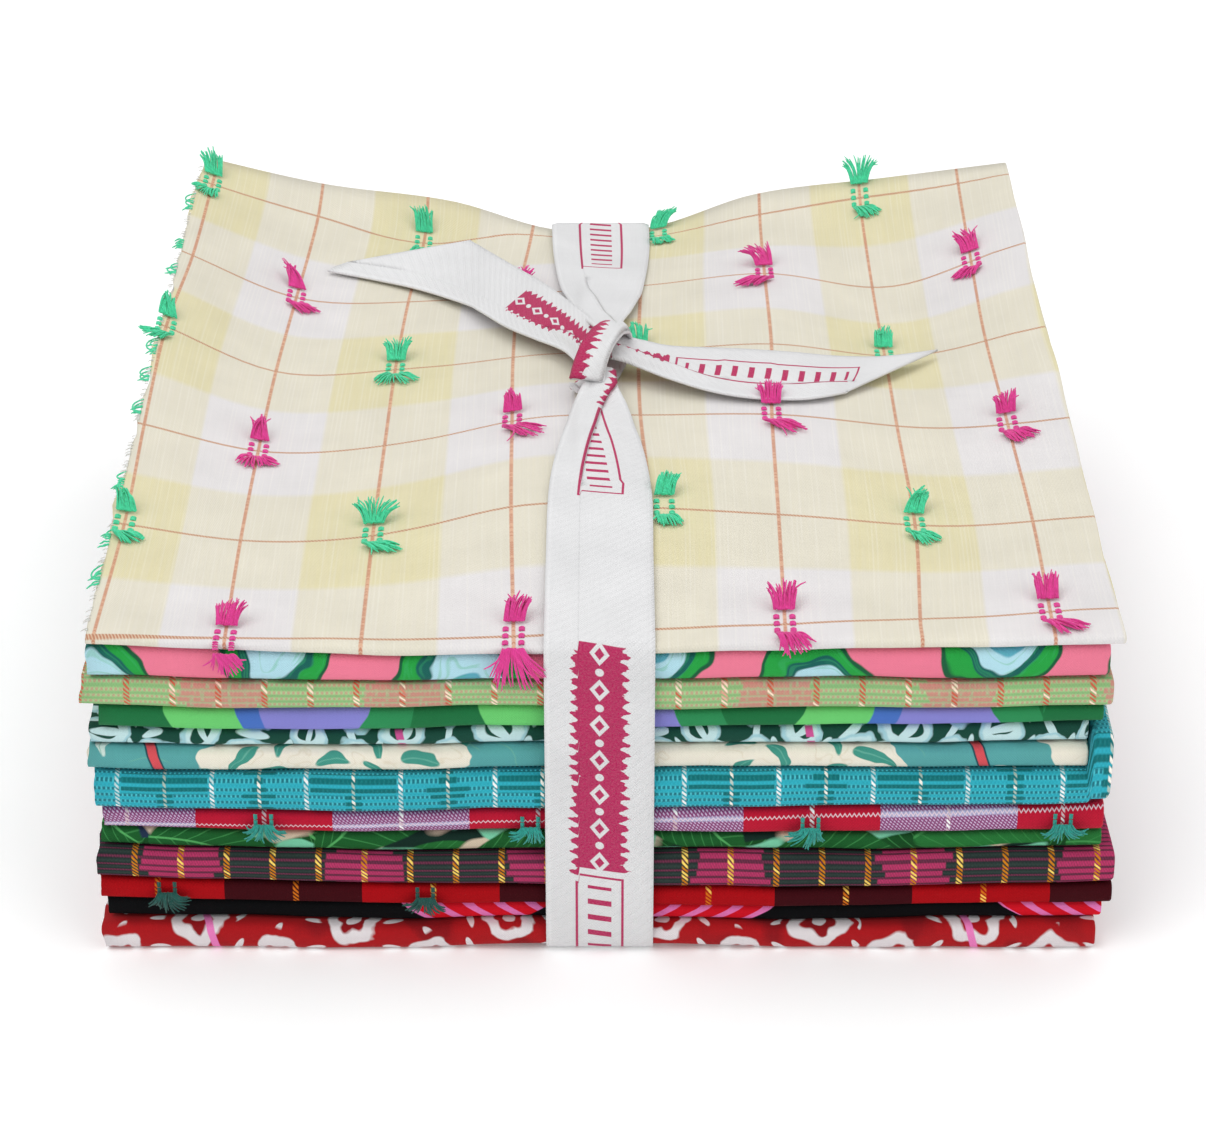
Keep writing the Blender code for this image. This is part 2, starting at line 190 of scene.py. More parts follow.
def ripple(seed, at, length):
    """An uneven wave between about -1 and 1, different for each seed."""
    turns = np.asarray(at) / length * 2 * math.pi
    waves = np.sin(turns + 1.7 * seed) + 0.7 * np.sin(1.83 * turns + 4.1 * seed)
    return (waves + 0.5 * np.sin(3.37 * turns + 2.3 * seed)) / 2.2


print("top over the front edge, back corners:", roof([-0.118, 0.118], [0.136, 0.136]).round(4))

# %% [markdown]
# ## Sharing the height out
#
# Each cloth's thickness was read at four places along the front. Added up, they
# say at what share of the height it begins and ends. The line between two
# cloths also wavers by a fraction of a millimetre, as soft folds do.

# %% List the cloths and their places
# Lowest first. Left and right are the side edges, nose is how far the front fold
# stands back, tail the same at the back, and bands is the thickness at four
# places from left to right, all in millimetres.
CLOTHS = (
    ("cloth_13_red_scroll", -118.6, 117.0, 0.2, 2.0, (7.6, 6.5, 6.0, 7.4)),
    ("cloth_12_black_bias", -117.8, 118.5, 3.0, 0.5, (6.5, 5.7, 5.2, 5.5)),
    ("cloth_11_red_block", -119.0, 120.2, 0.6, 3.0, (6.5, 5.9, 5.6, 5.9)),
    ("cloth_10_charcoal_brick", -118.9, 120.4, 0.0, 1.0, (7.8, 8.7, 9.8, 9.4)),
    ("cloth_09_green_leaf", -117.5, 117.3, 2.4, 3.5, (5.6, 6.4, 5.3, 5.4)),
    ("cloth_08_crimson_check", -116.8, 117.3, 1.2, 0.0, (6.1, 6.4, 7.6, 8.2)),
    ("cloth_07_turquoise_brick", -118.3, 118.1, 0.0, 2.0, (9.9, 11.0, 10.4, 9.7)),
    ("cloth_06_teal_bloom", -119.6, 112.6, 2.0, 4.0, (6.3, 6.3, 5.8, 6.1)),
    ("cloth_05_forest_brush", -119.2, 112.4, 3.4, 1.0, (5.2, 5.2, 5.4, 6.4)),
    ("cloth_04_colour_block", -116.3, 115.1, 1.8, 2.5, (6.8, 6.8, 5.6, 5.3)),
    ("cloth_03_sage_brick", -119.7, 116.7, 0.2, 0.5, (7.6, 7.1, 8.0, 7.6)),
    ("cloth_02_pink_ribbon", -117.7, 115.4, 0.8, 3.0, (8.9, 7.4, 7.8, 9.2)),
    ("cloth_01_cream_check", -117.8, 118.7, 0.0, 1.2, (2.9, 3.2, 3.2, 3.0)),
)
NAMES = [cloth[0] for cloth in CLOTHS]
BAND_STATIONS = (-104 * MM, -24 * MM, 18 * MM, 92 * MM)
BANDS = np.array([cloth[5] for cloth in CLOTHS])
WAVER = 0.0028
WAVER_LENGTH = 95 * MM
LEAST_BAND = 2.0
CLOTH_GAP = 0.16 * MM
# Under the stack the tape lifts the lowest cloth between these distances across.
TAPE_LIFT = 1.4 * MM
LIFT_FULL, LIFT_END = 15 * MM, 45 * MM


def plain_name(name):
    """A cloth's name without its number in the stack."""
    return name.split("_", 2)[2]


def folded(name):
    """The name of a cloth's folded sheet."""
    return "folded_" + plain_name(name)


def band_levels(x):
    """Where each cloth begins and ends in the stack, from 0 to 1, at places across."""
    thick = np.maximum(curve_weights(BAND_STATIONS, x) @ BANDS.T, LEAST_BAND)
    ends = np.cumsum(thick, axis=1) / thick.sum(axis=1, keepdims=True)
    levels = np.hstack([np.zeros((len(ends), 1)), ends])
    for number in range(1, len(CLOTHS)):
        levels[:, number] += WAVER * ripple(number, np.ravel(x), WAVER_LENGTH)
    return levels


def settled(index, x, y, level):
    """Height of points at a level from 0 to 1 within one cloth's band."""
    x, y, level = np.broadcast_arrays(x, y, level)
    ends = band_levels(x)[:, index:index + 2]
    low = TAPE_LIFT * (1 - smooth_step(LIFT_FULL, LIFT_END, np.abs(x)))
    high = roof(x, y)
    under = low + ends[:, 0].reshape(x.shape) * (high - low)
    over = low + ends[:, 1].reshape(x.shape) * (high - low)
    if index > 0:
        under = under + CLOTH_GAP / 2
    if index < len(CLOTHS) - 1:
        over = over - CLOTH_GAP / 2
    return under + level * (over - under)


print("first band at the left:", band_levels([-0.1])[0, 1].round(3), "of the height")

# %% [markdown]
# ## One sheet, folded
#
# A cut of cotton is about 457 by 1118 mm. It is folded in half, which brings
# its two long edges to the left, and then in quarters the other way, so that
# eight thin layers lie in each band. A mesh of the flat sheet is built as a
# grid: one direction follows the quarter folds, the other crosses the doubled
# sheet and turns round its fold at the right. Only the places are worked out
# by code; the thickness is Blender's Solidify, and the grid also keeps each
# point's place on the flat cloth, in metres, as its UV map. The patterns are
# drawn on that map, so they run round every fold as woven or printed cloth does.


# %% Turn rows of points into a sheet
def grid_mesh(name, places, marks):
    """A smooth grid through rows of points, with its cloth places as a UV map."""
    rows, columns = places.shape[:2]
    bm = bmesh.new()
    bmesh.ops.create_grid(bm, x_segments=rows - 1, y_segments=columns - 1, size=1.0)
    mesh = bpy.data.meshes.new(name)
    bm.to_mesh(mesh)
    bm.free()
    flat = np.empty(len(mesh.vertices) * 3, np.float32)
    mesh.vertices.foreach_get("co", flat)
    spots = (flat.reshape(-1, 3)[:, :2] + 1) / 2
    row = np.rint(spots[:, 0] * (rows - 1)).astype(int)
    column = np.rint(spots[:, 1] * (columns - 1)).astype(int)
    mesh.vertices.foreach_set("co", places[row, column].astype(np.float32).ravel())
    corners = np.empty(len(mesh.loops), np.int32)
    mesh.loops.foreach_get("vertex_index", corners)
    layer = mesh.uv_layers.new(name="Cloth")
    layer.uv.foreach_set("vector", marks[row, column][corners].astype(np.float32).ravel())
    mesh.shade_smooth()
    mesh.update()
    return mesh


def add_sheet(name, places, marks, thickness, material, nodes):
    """A cloth piece in the place of some CAD nodes."""
    obj = bpy.data.objects.new(name, grid_mesh(name, places, marks))
    bpy.context.scene.collection.objects.link(obj)
    obj.data.materials.append(material)
    thick = obj.modifiers.new("Thickness", "SOLIDIFY")
    thick.thickness = thickness
    thick.offset = 0.0
    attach(obj, "root")
    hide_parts(*nodes)
    return obj


print("a sheet is a grid of points, thickened by a modifier")

# %% Draw the fold line
# A level stack's band is this thick, and every cloth is scaled from it.
LEVEL_BAND = 6.4
FOLD_SQUARE = 3.4
FOLD_REACH = 3.2
RAW_STEP = 1.5
OUTER_STEPS, INNER_STEPS = 12, 6
STOPS = list(np.linspace(-128.0, 128.0, 22))
FINE_STOPS = list(np.linspace(-129.0, 129.0, 44))


def turn(y, start, stop, reach, steps):
    """Points of a soft, squarish fold from one level to another."""
    points = []
    for step in range(1, steps):
        angle = math.pi * step / steps
        out = math.sin(angle) ** (2 / FOLD_SQUARE)
        up = math.copysign(abs(math.cos(angle)) ** (2 / FOLD_SQUARE), math.cos(angle))
        points.append((y + reach * out, (start + stop) / 2 + up * (start - stop) / 2))
    return points


def fold_line(layers, front, back, stops):
    """The middle line of a folded sheet in a level stack, as (y, level) in millimetres.

    It starts at the raw back edge of the top layer. Two layers are one fold at
    the front. Four are folded once more: the front fold wraps an inner one, and
    the lower two layers join at the back.
    """
    pitch = LEVEL_BAND / layers
    levels = [pitch * (number + 0.5) for number in range(layers)]
    hem = front + FOLD_REACH
    outer_reach = FOLD_REACH - pitch / 4 - 0.2
    line = [(back, levels[-1]), *[(y, levels[-1]) for y in reversed(stops)], (hem, levels[-1])]
    line += turn(hem, levels[-1], levels[0], -outer_reach, OUTER_STEPS)
    line += [(hem, levels[0]), *[(y, levels[0]) for y in stops]]
    if layers == 2:
        return line + [(back - RAW_STEP, levels[0])]
    hinge = back - pitch
    back_turn = turn(hinge, levels[0], levels[1], pitch / 2, INNER_STEPS)
    line += [(hinge, levels[0]), *back_turn, (hinge, levels[1])]
    line += [(y, levels[1]) for y in reversed(stops)]
    front_turn = turn(hem, levels[1], levels[2], -pitch / 2, INNER_STEPS)
    line += [(hem, levels[1]), *front_turn, (hem, levels[2])]
    return line + [*[(y, levels[2]) for y in stops], (back - RAW_STEP, levels[2])]


print("points along a folded sheet:", len(fold_line(4, -136.0, 136.0, STOPS)))

# %% Lay one doubled sheet along the fold line
ACROSS = np.linspace(-112.0, 108.0, 40)
FINE_ACROSS = np.concatenate([(-116.8, -115.0), np.linspace(-112.0, 110.0, 56)])
SIDE_TURNS = 5
# How far the raw edge, the side fold and the front stray, and over what lengths.
EDGE_STRAY, EDGE_LENGTH, EDGE_FINE = 0.9, 83.0, 14.0
RIGHT_STEP = 0.8
SIDE_STRAY, SIDE_LENGTH = 0.5, 140.0
PULL_BACK, PULL_LENGTH = 0.8, 78.0
# The front is pulled back fully up to the first place behind it, and not past the
# second, and only beside the tape: from the first place across to the second.
PULL_DEEP = (2.0, 22.0)
OFF_TAPE = (16.0, 30.0)


def cloth_places(index, layers, stops, across):
    """Settled points of one cloth, and their places on the flat cloth in metres."""
    _, left, right, nose, tail, bands = CLOTHS[index]
    line = np.array(fold_line(layers, FRONT / MM + nose, -FRONT / MM - tail, stops))
    scale = np.mean(bands) / LEVEL_BAND
    along = np.gradient(line, axis=0)
    along /= np.linalg.norm(along, axis=1, keepdims=True)
    out = np.stack([along[:, 1], -along[:, 0]], axis=1)
    steps = np.diff(line, axis=0) * (1.0, scale)
    length = np.concatenate([[0], np.cumsum(np.hypot(steps[:, 0], steps[:, 1]))])
    length -= length[np.argmin(line[:, 0])]

    half = LEVEL_BAND / layers / 4
    bend = [math.pi * (0.5 - step / SIDE_TURNS) for step in range(SIDE_TURNS + 1)]
    run = np.concatenate([[left], across, [right - half * scale]])
    x = np.concatenate([run[:-1], [run[-1] + half * scale * math.cos(a) for a in bend], run[:-1][::-1]])
    share = np.concatenate([np.ones(len(run) - 1), [math.sin(a) for a in bend], -np.ones(len(run) - 1)])
    shift = np.diff(np.stack([x, share * half * scale]), axis=1)
    place = left + np.concatenate([[0], np.cumsum(np.hypot(shift[0], shift[1]))])

    grid_x = np.repeat(x[None], len(line), axis=0)
    for column, seed in ((0, 3), (-1, 7)):
        stray = EDGE_STRAY * ripple(seed + 11 * index, length, EDGE_LENGTH)
        stray += EDGE_STRAY / 2 * ripple(seed + index, length, EDGE_FINE)
        grid_x[:, column] += stray + (RIGHT_STEP if column else 0.0)
    side = slice(len(run) - 1, len(run) + SIDE_TURNS)
    grid_x[:, side] += SIDE_STRAY * ripple(5 + 7 * index, length, SIDE_LENGTH)[:, None]
    grid_y = line[:, :1] + out[:, :1] * share * half
    level = (line[:, 1:] + out[:, 1:] * share * half) / LEVEL_BAND

    off_tape = smooth_step(*OFF_TAPE, np.abs(grid_x))
    near_front = 1 - smooth_step(*PULL_DEEP, grid_y - FRONT / MM)
    pull = PULL_BACK * (0.5 + 0.5 * ripple(2 + 3 * index, grid_x, PULL_LENGTH))
    grid_y = grid_y + pull * off_tape * near_front
    x, y = grid_x * MM, grid_y * MM
    z = settled(index, x, y, level)
    marks = np.stack(np.broadcast_arrays(place[None] * MM, -length[:, None] * MM), axis=2)
    return np.stack([x, y, z], axis=2), marks, level


CLOTH_WIDE, CUT_LONG, SHORT_CUT_LONG = 0.457, 1.118, 0.559
SHEET_FILL = 0.55


def add_cloth(name, material, layers=4, stops=STOPS, across=ACROSS, reshape=None):
    """One folded cotton in the place of its solid."""
    index = NAMES.index(name)
    places, marks, level = cloth_places(index, layers, stops, across)
    if reshape:
        places, marks = reshape(places, marks, level)
    thickness = SHEET_FILL * np.mean(BANDS[index]) / (2 * layers) * MM
    obj = add_sheet(folded(name), places, marks, thickness, material, [name])
    size = (CLOTH_WIDE, CUT_LONG if layers == 4 else SHORT_CUT_LONG)
    below = folded(NAMES[index - 1]) if index else "tape_band"
    print(obj.name, "points:", len(obj.data.vertices))


# %% [markdown]
# ## The tape
#
# One woven cotton tape, 25.4 mm wide, goes once round the bundle and is tied in
# a single knot on top. Where it nears the knot it folds over itself in a flat Z.
# Each stretch is drawn as a list of stations, the places of the tape's two edges.
# Smooth curves join the stations, and the width that is lost goes into the fold.

# %% Shape a stretch of tape
TAPE_WIDTH = 25.4 * MM
TAPE_THICK = 0.55 * MM
TAPE_CLEAR = 0.5 * MM
FOLD_LAYER = 0.62 * MM
FOLD_LEAST = 0.3 * MM
FOLD_FULL = 2.0 * MM
FOLD_SLOPE = 3.0 * MM
CREASE = 7.7 * MM
THIRD = 8
TAPE_COLUMNS = 3 * THIRD + 1
TAPE_STEP = 2.0 * MM
TOP_LEVEL = 0.98


def top_height(x, y):
    """Height of the upper side of the top cloth."""
    return settled(len(CLOTHS) - 1, x, y, TOP_LEVEL)


def fold_tape(width):
    """Cross-sections of a tape folded over itself in a flat Z to fit each width.

    Gives the places of the points across, for each row: the flat place on the
    tape, the place between its two edges, and the height in layers. The part
    left of the crease lies on top, the other two layers lie under it.
    """
    overlap = np.clip((TAPE_WIDTH - width) / 2, 0.0, 0.98 * width)
    is_folded = overlap > FOLD_LEAST
    under = np.where(is_folded, overlap, FOLD_LEAST)
    first = np.clip(CREASE, np.minimum(overlap, width), width)
    ends = np.where(is_folded, width + 2 * overlap, width)
    flat, place, layer = [], [], []
    for number in range(TAPE_COLUMNS):
        span, share = divmod(number / THIRD, 1) if number < TAPE_COLUMNS - 1 else (2, 1.0)
        starts = (np.zeros_like(width), first, first + under)
        stops = (first, first + under, np.maximum(ends, first + under + 0.1 * MM))
        at = starts[int(span)] + share * (stops[int(span)] - starts[int(span)])
        turned = (at, 2 * first - at, at - 2 * overlap)[int(span)]
        where = np.where(is_folded, turned, at)
        full = np.clip(overlap / FOLD_FULL, 0.0, 1.0)
        if span == 0:
            height = 2 * smooth_step(first - overlap - FOLD_SLOPE, first - overlap, where)
        else:
            height = np.full_like(width, 1.0 if span == 1 else 0.0)
        if number in (THIRD, 2 * THIRD):
            height = height + 0.5
        flat.append(at * np.minimum(1.0, TAPE_WIDTH / ends) - TAPE_WIDTH / 2)
        place.append(where)
        layer.append(height * full)
    return np.stack(flat, axis=1), np.stack(place, axis=1), np.stack(layer, axis=1)


print("tape width:", round(TAPE_WIDTH / MM, 1), "mm, points across:", TAPE_COLUMNS)


# %% Stretch the tape through its stations
def tape_places(stations, resting=True, step=TAPE_STEP, up=1, ruck=0.25, crown=0.0):
    """Points of a stretch of tape through stations, and its flat places across.

    A station is across, back and up for one edge and then the other, in
    millimetres from the middle of the stack's front top edge. Width that is
    lost between the edges is folded under, and rucked where it is tight.
    """
    rows = np.array(stations, float).reshape(-1, 2, 3) * MM
    middle = rows.mean(axis=1)
    way = np.concatenate([[0], np.cumsum(np.linalg.norm(np.diff(middle, axis=0), axis=1))])
    along = np.linspace(0, way[-1], max(int(way[-1] / step), 4) + 1)
    weights = curve_weights(way, along)
    first, last = weights @ rows[:, 0], weights @ rows[:, 1]
    side = last - first
    width = np.linalg.norm(side, axis=1)
    flat, place, layer = fold_tape(width)
    share = (place / width[:, None])[..., None]
    places = first[:, None] * (1 - share) + last[:, None] * share
    face = up * np.cross(np.gradient((first + last) / 2, axis=0), side)
    face /= np.linalg.norm(face, axis=1, keepdims=True)
    tight = smooth_step(0.0, 0.6, 1 - width / TAPE_WIDTH)[:, None]
    rucks = ruck * tight * ripple(4, place / MM + 0.12 * along[:, None] / MM, 4.6) * MM
    bow = crown * (1 - (2 * share[..., 0] - 1) ** 2) * MM
    lift = layer * FOLD_LAYER + rucks + bow
    places = places + face[:, None] * lift[..., None]
    places[..., 1] += FRONT
    places[..., 2] += STACK_HEIGHT
    if resting:
        ground = top_height(places[..., 0], places[..., 1]) + TAPE_CLEAR + layer * FOLD_LAYER
        places[..., 2] = np.maximum(places[..., 2], ground)
    return places, flat


def tape_marks(places, flat):
    """Flat places on the tape: across its width, and along from its first row."""
    steps = np.linalg.norm(np.diff(places, axis=0), axis=2)
    along = np.vstack([np.zeros((1, TAPE_COLUMNS)), np.cumsum(steps, axis=0)])
    return np.stack([flat, along], axis=2)


def add_tape(name, shape, print_at, node, way=1, aside=0.0):
    """A stretch of tape whose print starts at a place on the repeat, in millimetres."""
    places, flat = shape
    marks = tape_marks(places, flat)
    marks[..., 1] = print_at * MM + way * marks[..., 1]
    marks[..., 0] += aside * MM
    obj = add_sheet(name, places, marks, TAPE_THICK, tape_look, [node])


print("a stretch has a row of points every", round(TAPE_STEP / MM, 1), "mm")

# %% Carry the tape round the stack
# Stations on top, from the knot forward: across, back and up for each edge.
FRONT_TOP = (
    (-3.9, 135.0, 3.6, 3.4, 132.0, 3.6), (-4.5, 128.5, 2.4, 3.7, 127.0, 2.4),
    (-6.4, 122.0, 1.4, 5.3, 121.5, 1.4), (-8.0, 116.0, 0.9, 6.6, 116.0, 0.9),
    (-9.6, 105.0, 1.2, 8.1, 105.0, 1.2), (-11.0, 95.0, 1.6, 9.6, 95.0, 1.6),
    (-12.7, 78.0, 2.3, 11.2, 78.0, 2.3), (-13.4, 62.5, 2.2, 12.0, 62.5, 2.2),
    (-13.5, 35.0, 1.0, 11.9, 35.0, 1.0), (-13.5, 9.0, -0.8, 11.9, 9.0, -0.8),
    (-13.5, 4.0, -1.4, 11.9, 4.0, -1.4),
)
# The same from the back edge to the knot.
BACK_TOP = (
    (-15.2, 269.0, -12.6, 13.6, 269.0, -12.6), (-14.6, 249.0, -11.6, 13.6, 249.0, -11.6),
    (-13.4, 229.0, -10.0, 12.8, 232.0, -9.8), (-11.8, 212.0, -8.0, 11.0, 210.0, -8.0),
    (-9.8, 200.0, -6.0, 9.7, 200.0, -6.0), (-7.6, 186.0, -3.5, 7.4, 188.0, -4.5),
    (-5.0, 172.0, -0.5, 5.4, 175.0, -1.2), (-3.0, 160.0, 3.2, 3.6, 162.0, 1.6),
    (-2.0, 152.0, 4.6, 3.2, 153.0, 3.6),
)


def round_the_stack(front_top, back_top):
    """Stations of the flat stretch down the front, under the stack and up the back."""
    deep = STACK_DEPTH / MM
    low = 0.35 - STACK_HEIGHT / MM
    line = [(2.0, front_top), (0.5, front_top - 0.5), (-0.6, front_top - 1.8), (-0.9, front_top - 4.0)]
    line += [(-0.9 - 0.15 * math.sin(step), front_top - 4.0 - 9.2 * step) for step in range(1, 8)]
    line += [(-0.8, low + 6.0), (-0.2, low + 2.8), (1.4, low + 0.8), (4.5, low)]
    line += [(4.5 + (deep - 8.5) * step / 12, low) for step in range(1, 12)]
    line += [(deep - 4.0, low), (deep - 0.8, low + 0.2), (deep + 0.5, low + 1.2), (deep + 0.9, low + 3.5)]
    line += [(deep + 0.9, low + 3.5 + (back_top - low - 8.5) * step / 7) for step in range(1, 8)]
    line += [(deep + 0.6, back_top - 2.0), (deep - 0.5, back_top - 0.5), (deep - 1.6, back_top)]
    half = TAPE_WIDTH / MM / 2
    return [(-half - 0.8, back, up, half - 0.8, back, up) for back, up in line]


on_front = tape_places(FRONT_TOP)
on_back = tape_places(BACK_TOP)
MIDDLE = TAPE_COLUMNS // 2
front_edge = (on_front[0][-1, MIDDLE, 2] - STACK_HEIGHT) / MM
back_edge = (on_back[0][0, MIDDLE, 2] - STACK_HEIGHT) / MM
around = tape_places(round_the_stack(front_edge, back_edge), resting=False)
band = [np.concatenate(parts) for parts in zip(on_front, around, on_back)]
print("band rows:", len(band[0]))

# %% Tie the knot and lay its tails
# The wrap goes up from the front band, over both tails and back under itself:
# across, back and up for its middle, and its width.
WRAP_LINE = (
    (-4.0, 127.5, 3.2, 9.0), (-3.2, 130.5, 6.4, 8.4), (-1.6, 135.0, 8.8, 8.0), (0.4, 141.0, 9.6, 8.0),
    (2.2, 147.0, 8.6, 8.4), (3.2, 151.5, 6.0, 9.0), (3.2, 153.5, 2.6, 9.0), (2.0, 149.0, -0.6, 9.0),
    (-0.5, 141.0, -1.4, 9.0), (-3.0, 133.0, -0.6, 9.0), (-4.2, 128.4, 2.0, 9.0),
)
WRAP_TURN = math.radians(-13)
TAIL_LEFT = (
    (0.5, 136.0, 3.0, 1.0, 154.0, 4.6), (-4.5, 137.1, 2.2, -1.4, 162.0, 3.2),
    (-10.6, 154.0, -0.2, -3.8, 173.0, 1.2),
    (-18.4, 164.6, -1.7, -9.5, 189.0, -1.4), (-26.5, 177.5, -4.0, -16.3, 206.0, -3.8),
    (-34.3, 192.5, -6.0, -24.7, 223.4, -6.4), (-39.7, 202.6, -8.0, -34.6, 241.5, -8.3),
    (-53.4, 214.6, -8.9, -38.0, 246.0, -8.2), (-66.0, 220.3, -8.6, -38.3, 246.6, -8.2),
    (-78.4, 221.6, -6.6, -38.6, 247.2, -8.2),
)
TAIL_RIGHT = (
    (2.0, 139.0, 3.6, 2.5, 151.0, 5.6), (6.5, 138.5, 3.0, 5.6, 152.5, 4.6),
    (17.1, 129.0, 3.4, 17.5, 149.5, 3.2), (27.7, 122.9, 2.7, 28.0, 147.0, 3.8),
    (38.2, 119.5, 2.4, 38.5, 144.6, 4.4), (50.1, 119.8, 1.8, 50.5, 144.0, 3.8),
    (57.4, 122.8, 1.2, 62.0, 146.0, 1.8), (62.4, 126.8, 0.2, 75.0, 150.2, -0.2),
    (62.8, 127.4, 0.2, 89.4, 156.0, -1.0),
)
lean_x, lean_y = math.cos(WRAP_TURN) / 2, math.sin(WRAP_TURN) / 2
wrap = [(x - w * lean_x, y - w * lean_y, z, x + w * lean_x, y + w * lean_y, z) for x, y, z, w in WRAP_LINE]
wrapped = tape_places(wrap, step=1.0 * MM, up=-1, ruck=0.7, crown=1.3)
left_tail = tape_places(TAIL_LEFT, up=-1)
right_tail = tape_places(TAIL_RIGHT)

# The left tail's slanting cut end bows outward a little, by this much across and back.
CUT_BOW = (-1.512 * MM, 2.352 * MM)
CUT_START = 0.72
share = np.linspace(0, 1, TAPE_COLUMNS)[None]
near_end = smooth_step(CUT_START, 1.0, np.linspace(0, 1, len(left_tail[0])))[:, None]
for axis, bow in enumerate(CUT_BOW):
    left_tail[0][..., axis] += bow * near_end * 4 * share * (1 - share)
print("knot rows:", len(wrapped[0]), "tail rows:", len(left_tail[0]), len(right_tail[0]))

# %% [markdown]
# ## Patterns as formulas
#
# Every colour here is drawn by shader nodes on the flat cloth, in millimetres.
# The same few steps come back in each pattern: the distance from the nearest
# line, the number of a stripe, a mask inside a limit. Wiring them one node at a
# time would be long to read, so a value in a node tree is wrapped in a small
# class, and adding, multiplying or comparing such values adds the Math nodes.

# %% Let node values be added and compared
TURN = 2 * math.pi


def feed(tree, socket, value):
    """Sets a socket to a number or a colour, or links it to a field."""
    if isinstance(value, Field):
        tree.links.new(value.socket, socket)
    elif socket.type == "RGBA":
        socket.default_value = (*value, 1)
    else:
        socket.default_value = value


def add_node(tree, kind, inputs=(), output=0, **settings):
    """A node with its settings and inputs, and one of its outputs as a field."""
    node = tree.nodes.new("ShaderNode" + kind)
    for name, value in settings.items():
        setattr(node, name, value)
    for slot, value in dict(inputs).items():
        feed(tree, node.inputs[slot], value)
    return Field(tree, node.outputs[output])


class Field:
    """A value that changes over the surface: an output of a node in a tree."""

    def __init__(self, tree, socket):
        self.tree, self.socket = tree, socket

    def calc(self, operation, *values, clamp=False):
        return add_node(self.tree, "Math", enumerate((self, *values)), operation=operation, use_clamp=clamp)

    def __add__(self, other):
        return self.calc("ADD", other)

    def __sub__(self, other):
        return self.calc("SUBTRACT", other)

    def __mul__(self, other):
        return self.calc("MULTIPLY", other)

    def __truediv__(self, other):
        return self.calc("DIVIDE", other)

    def __abs__(self):
        return self.calc("ABSOLUTE")

    def wave(self, length):
        """A sine wave of that length."""
        turns = self / length * TURN if isinstance(length, Field) else self * (TURN / length)
        return turns.calc("SINE")

    def nearest(self, pitch):
        """Signed distance from the nearest whole number of pitches."""
        return self - self.number(pitch) * pitch

    def number(self, pitch):
        """How many pitches away, rounded."""
        return (self / pitch).calc("ROUND")

    def odd(self):
        """1 where a whole number is odd."""
        return abs(self).calc("MODULO", 2.0)

    def under(self, limit, soft=0.15):
        """A mask that is 1 where the value is under the limit."""
        return ((self * -1.0 + limit) / soft).calc("ADD", 0.5, clamp=True)

    def over(self, limit, soft=0.15):
        """A mask that is 1 where the value is over the limit."""
        return ((self - limit) / soft).calc("ADD", 0.5, clamp=True)

    def near(self, half, soft=0.15):
        """A mask that is 1 within that distance of 0."""
        return abs(self).under(half, soft)

    def flip(self):
        """A mask turned round, 1 where it was 0."""
        return self * -1.0 + 1.0

    def most(self, other):
        """The greater of two values, which joins two masks."""
        return self.calc("MAXIMUM", other)


print("a field can be added, multiplied and compared")


# %% Name the steps that many patterns take
def tie_point(x, y, z=0.0):
    """The three fields as one vector."""
    return add_node(x.tree, "CombineXYZ", enumerate((x, y, z)))


def split_metres(vector, count):
    """The first parts of a vector in metres, as fields in millimetres."""
    parts = vector.tree.nodes.new("ShaderNodeSeparateXYZ")
    feed(vector.tree, parts.inputs[0], vector)
    return [Field(vector.tree, parts.outputs[number]) * 1000.0 for number in range(count)]


def clouds(x, y, seed=0.0, detail=2.0):
    """Soft noise from 0 to 1 with features about one unit across."""
    inputs = {"Scale": 1.0, "Detail": detail, "Vector": tie_point(x, y, seed)}
    return add_node(x.tree, "TexNoise", inputs, "Fac")


def drift(x, y, scale, seed, detail=2.0):
    """Soft noise around 0, on places that are scaled first."""
    return clouds(x * scale, y * scale, seed, detail) - 0.5


def chance(x, y, seed=0.0):
    """A random value from 0 to 1 for each whole place."""
    return add_node(x.tree, "TexWhiteNoise", {"Vector": tie_point(x, y, seed)}, "Value")


def oval(x, y, wide, high):
    """1 on the rim of an oval of those half sizes, less inside it."""
    return add_node(x.tree, "VectorMath", {0: tie_point(x / wide, y / high)}, "Value", operation="LENGTH")


def paint(base, colour, mask):
    """One colour laid over another where the mask is 1."""
    return add_node(mask.tree, "Mix", {0: mask, 6: base, 7: colour}, 2, data_type="RGBA")


def coat(colour, *coats):
    """Paints coats over a colour: each is a shade from 0 to 255, and the mask where it lies."""
    for shade, mask in coats:
        colour = paint(colour, dye(*shade), mask)
    return colour


print("a field can also be moved by noise, and painted")

# %% [markdown]
# ## Effects that several cloths share
#
# A cotton surface is yarns going over and under, a little uneven in thickness
# and in how much dye they took. Shiny lines are woven in as slanted stitches of
# metal thread. Brick blocks and dotted rows are weft threads that float for a
# few yarns. Each of these is a node group with named sockets, built once, and
# every cloth places it with its own sizes.


# %% Make and place a node group
def make_group(name, inputs, outputs, build):
    """A node group: inputs are names and starting values, and build makes the outputs."""
    tree = bpy.data.node_groups.new(name, "ShaderNodeTree")
    kinds = {True: "NodeSocketColor", False: "NodeSocketFloat"}
    for title, value in inputs.items():
        colour = isinstance(value, tuple)
        socket = tree.interface.new_socket(title, in_out="INPUT", socket_type=kinds[colour])
        socket.default_value = (*value, 1) if colour else value
    for title in outputs:
        tree.interface.new_socket(title, in_out="OUTPUT", socket_type=kinds[title == "Colour"])
    start = tree.nodes.new("NodeGroupInput")
    end = tree.nodes.new("NodeGroupOutput")
    results = build(*[Field(tree, start.outputs[title]) for title in inputs])
    for title, result in zip(outputs, results):
        feed(tree, end.inputs[title], result)
    return tree


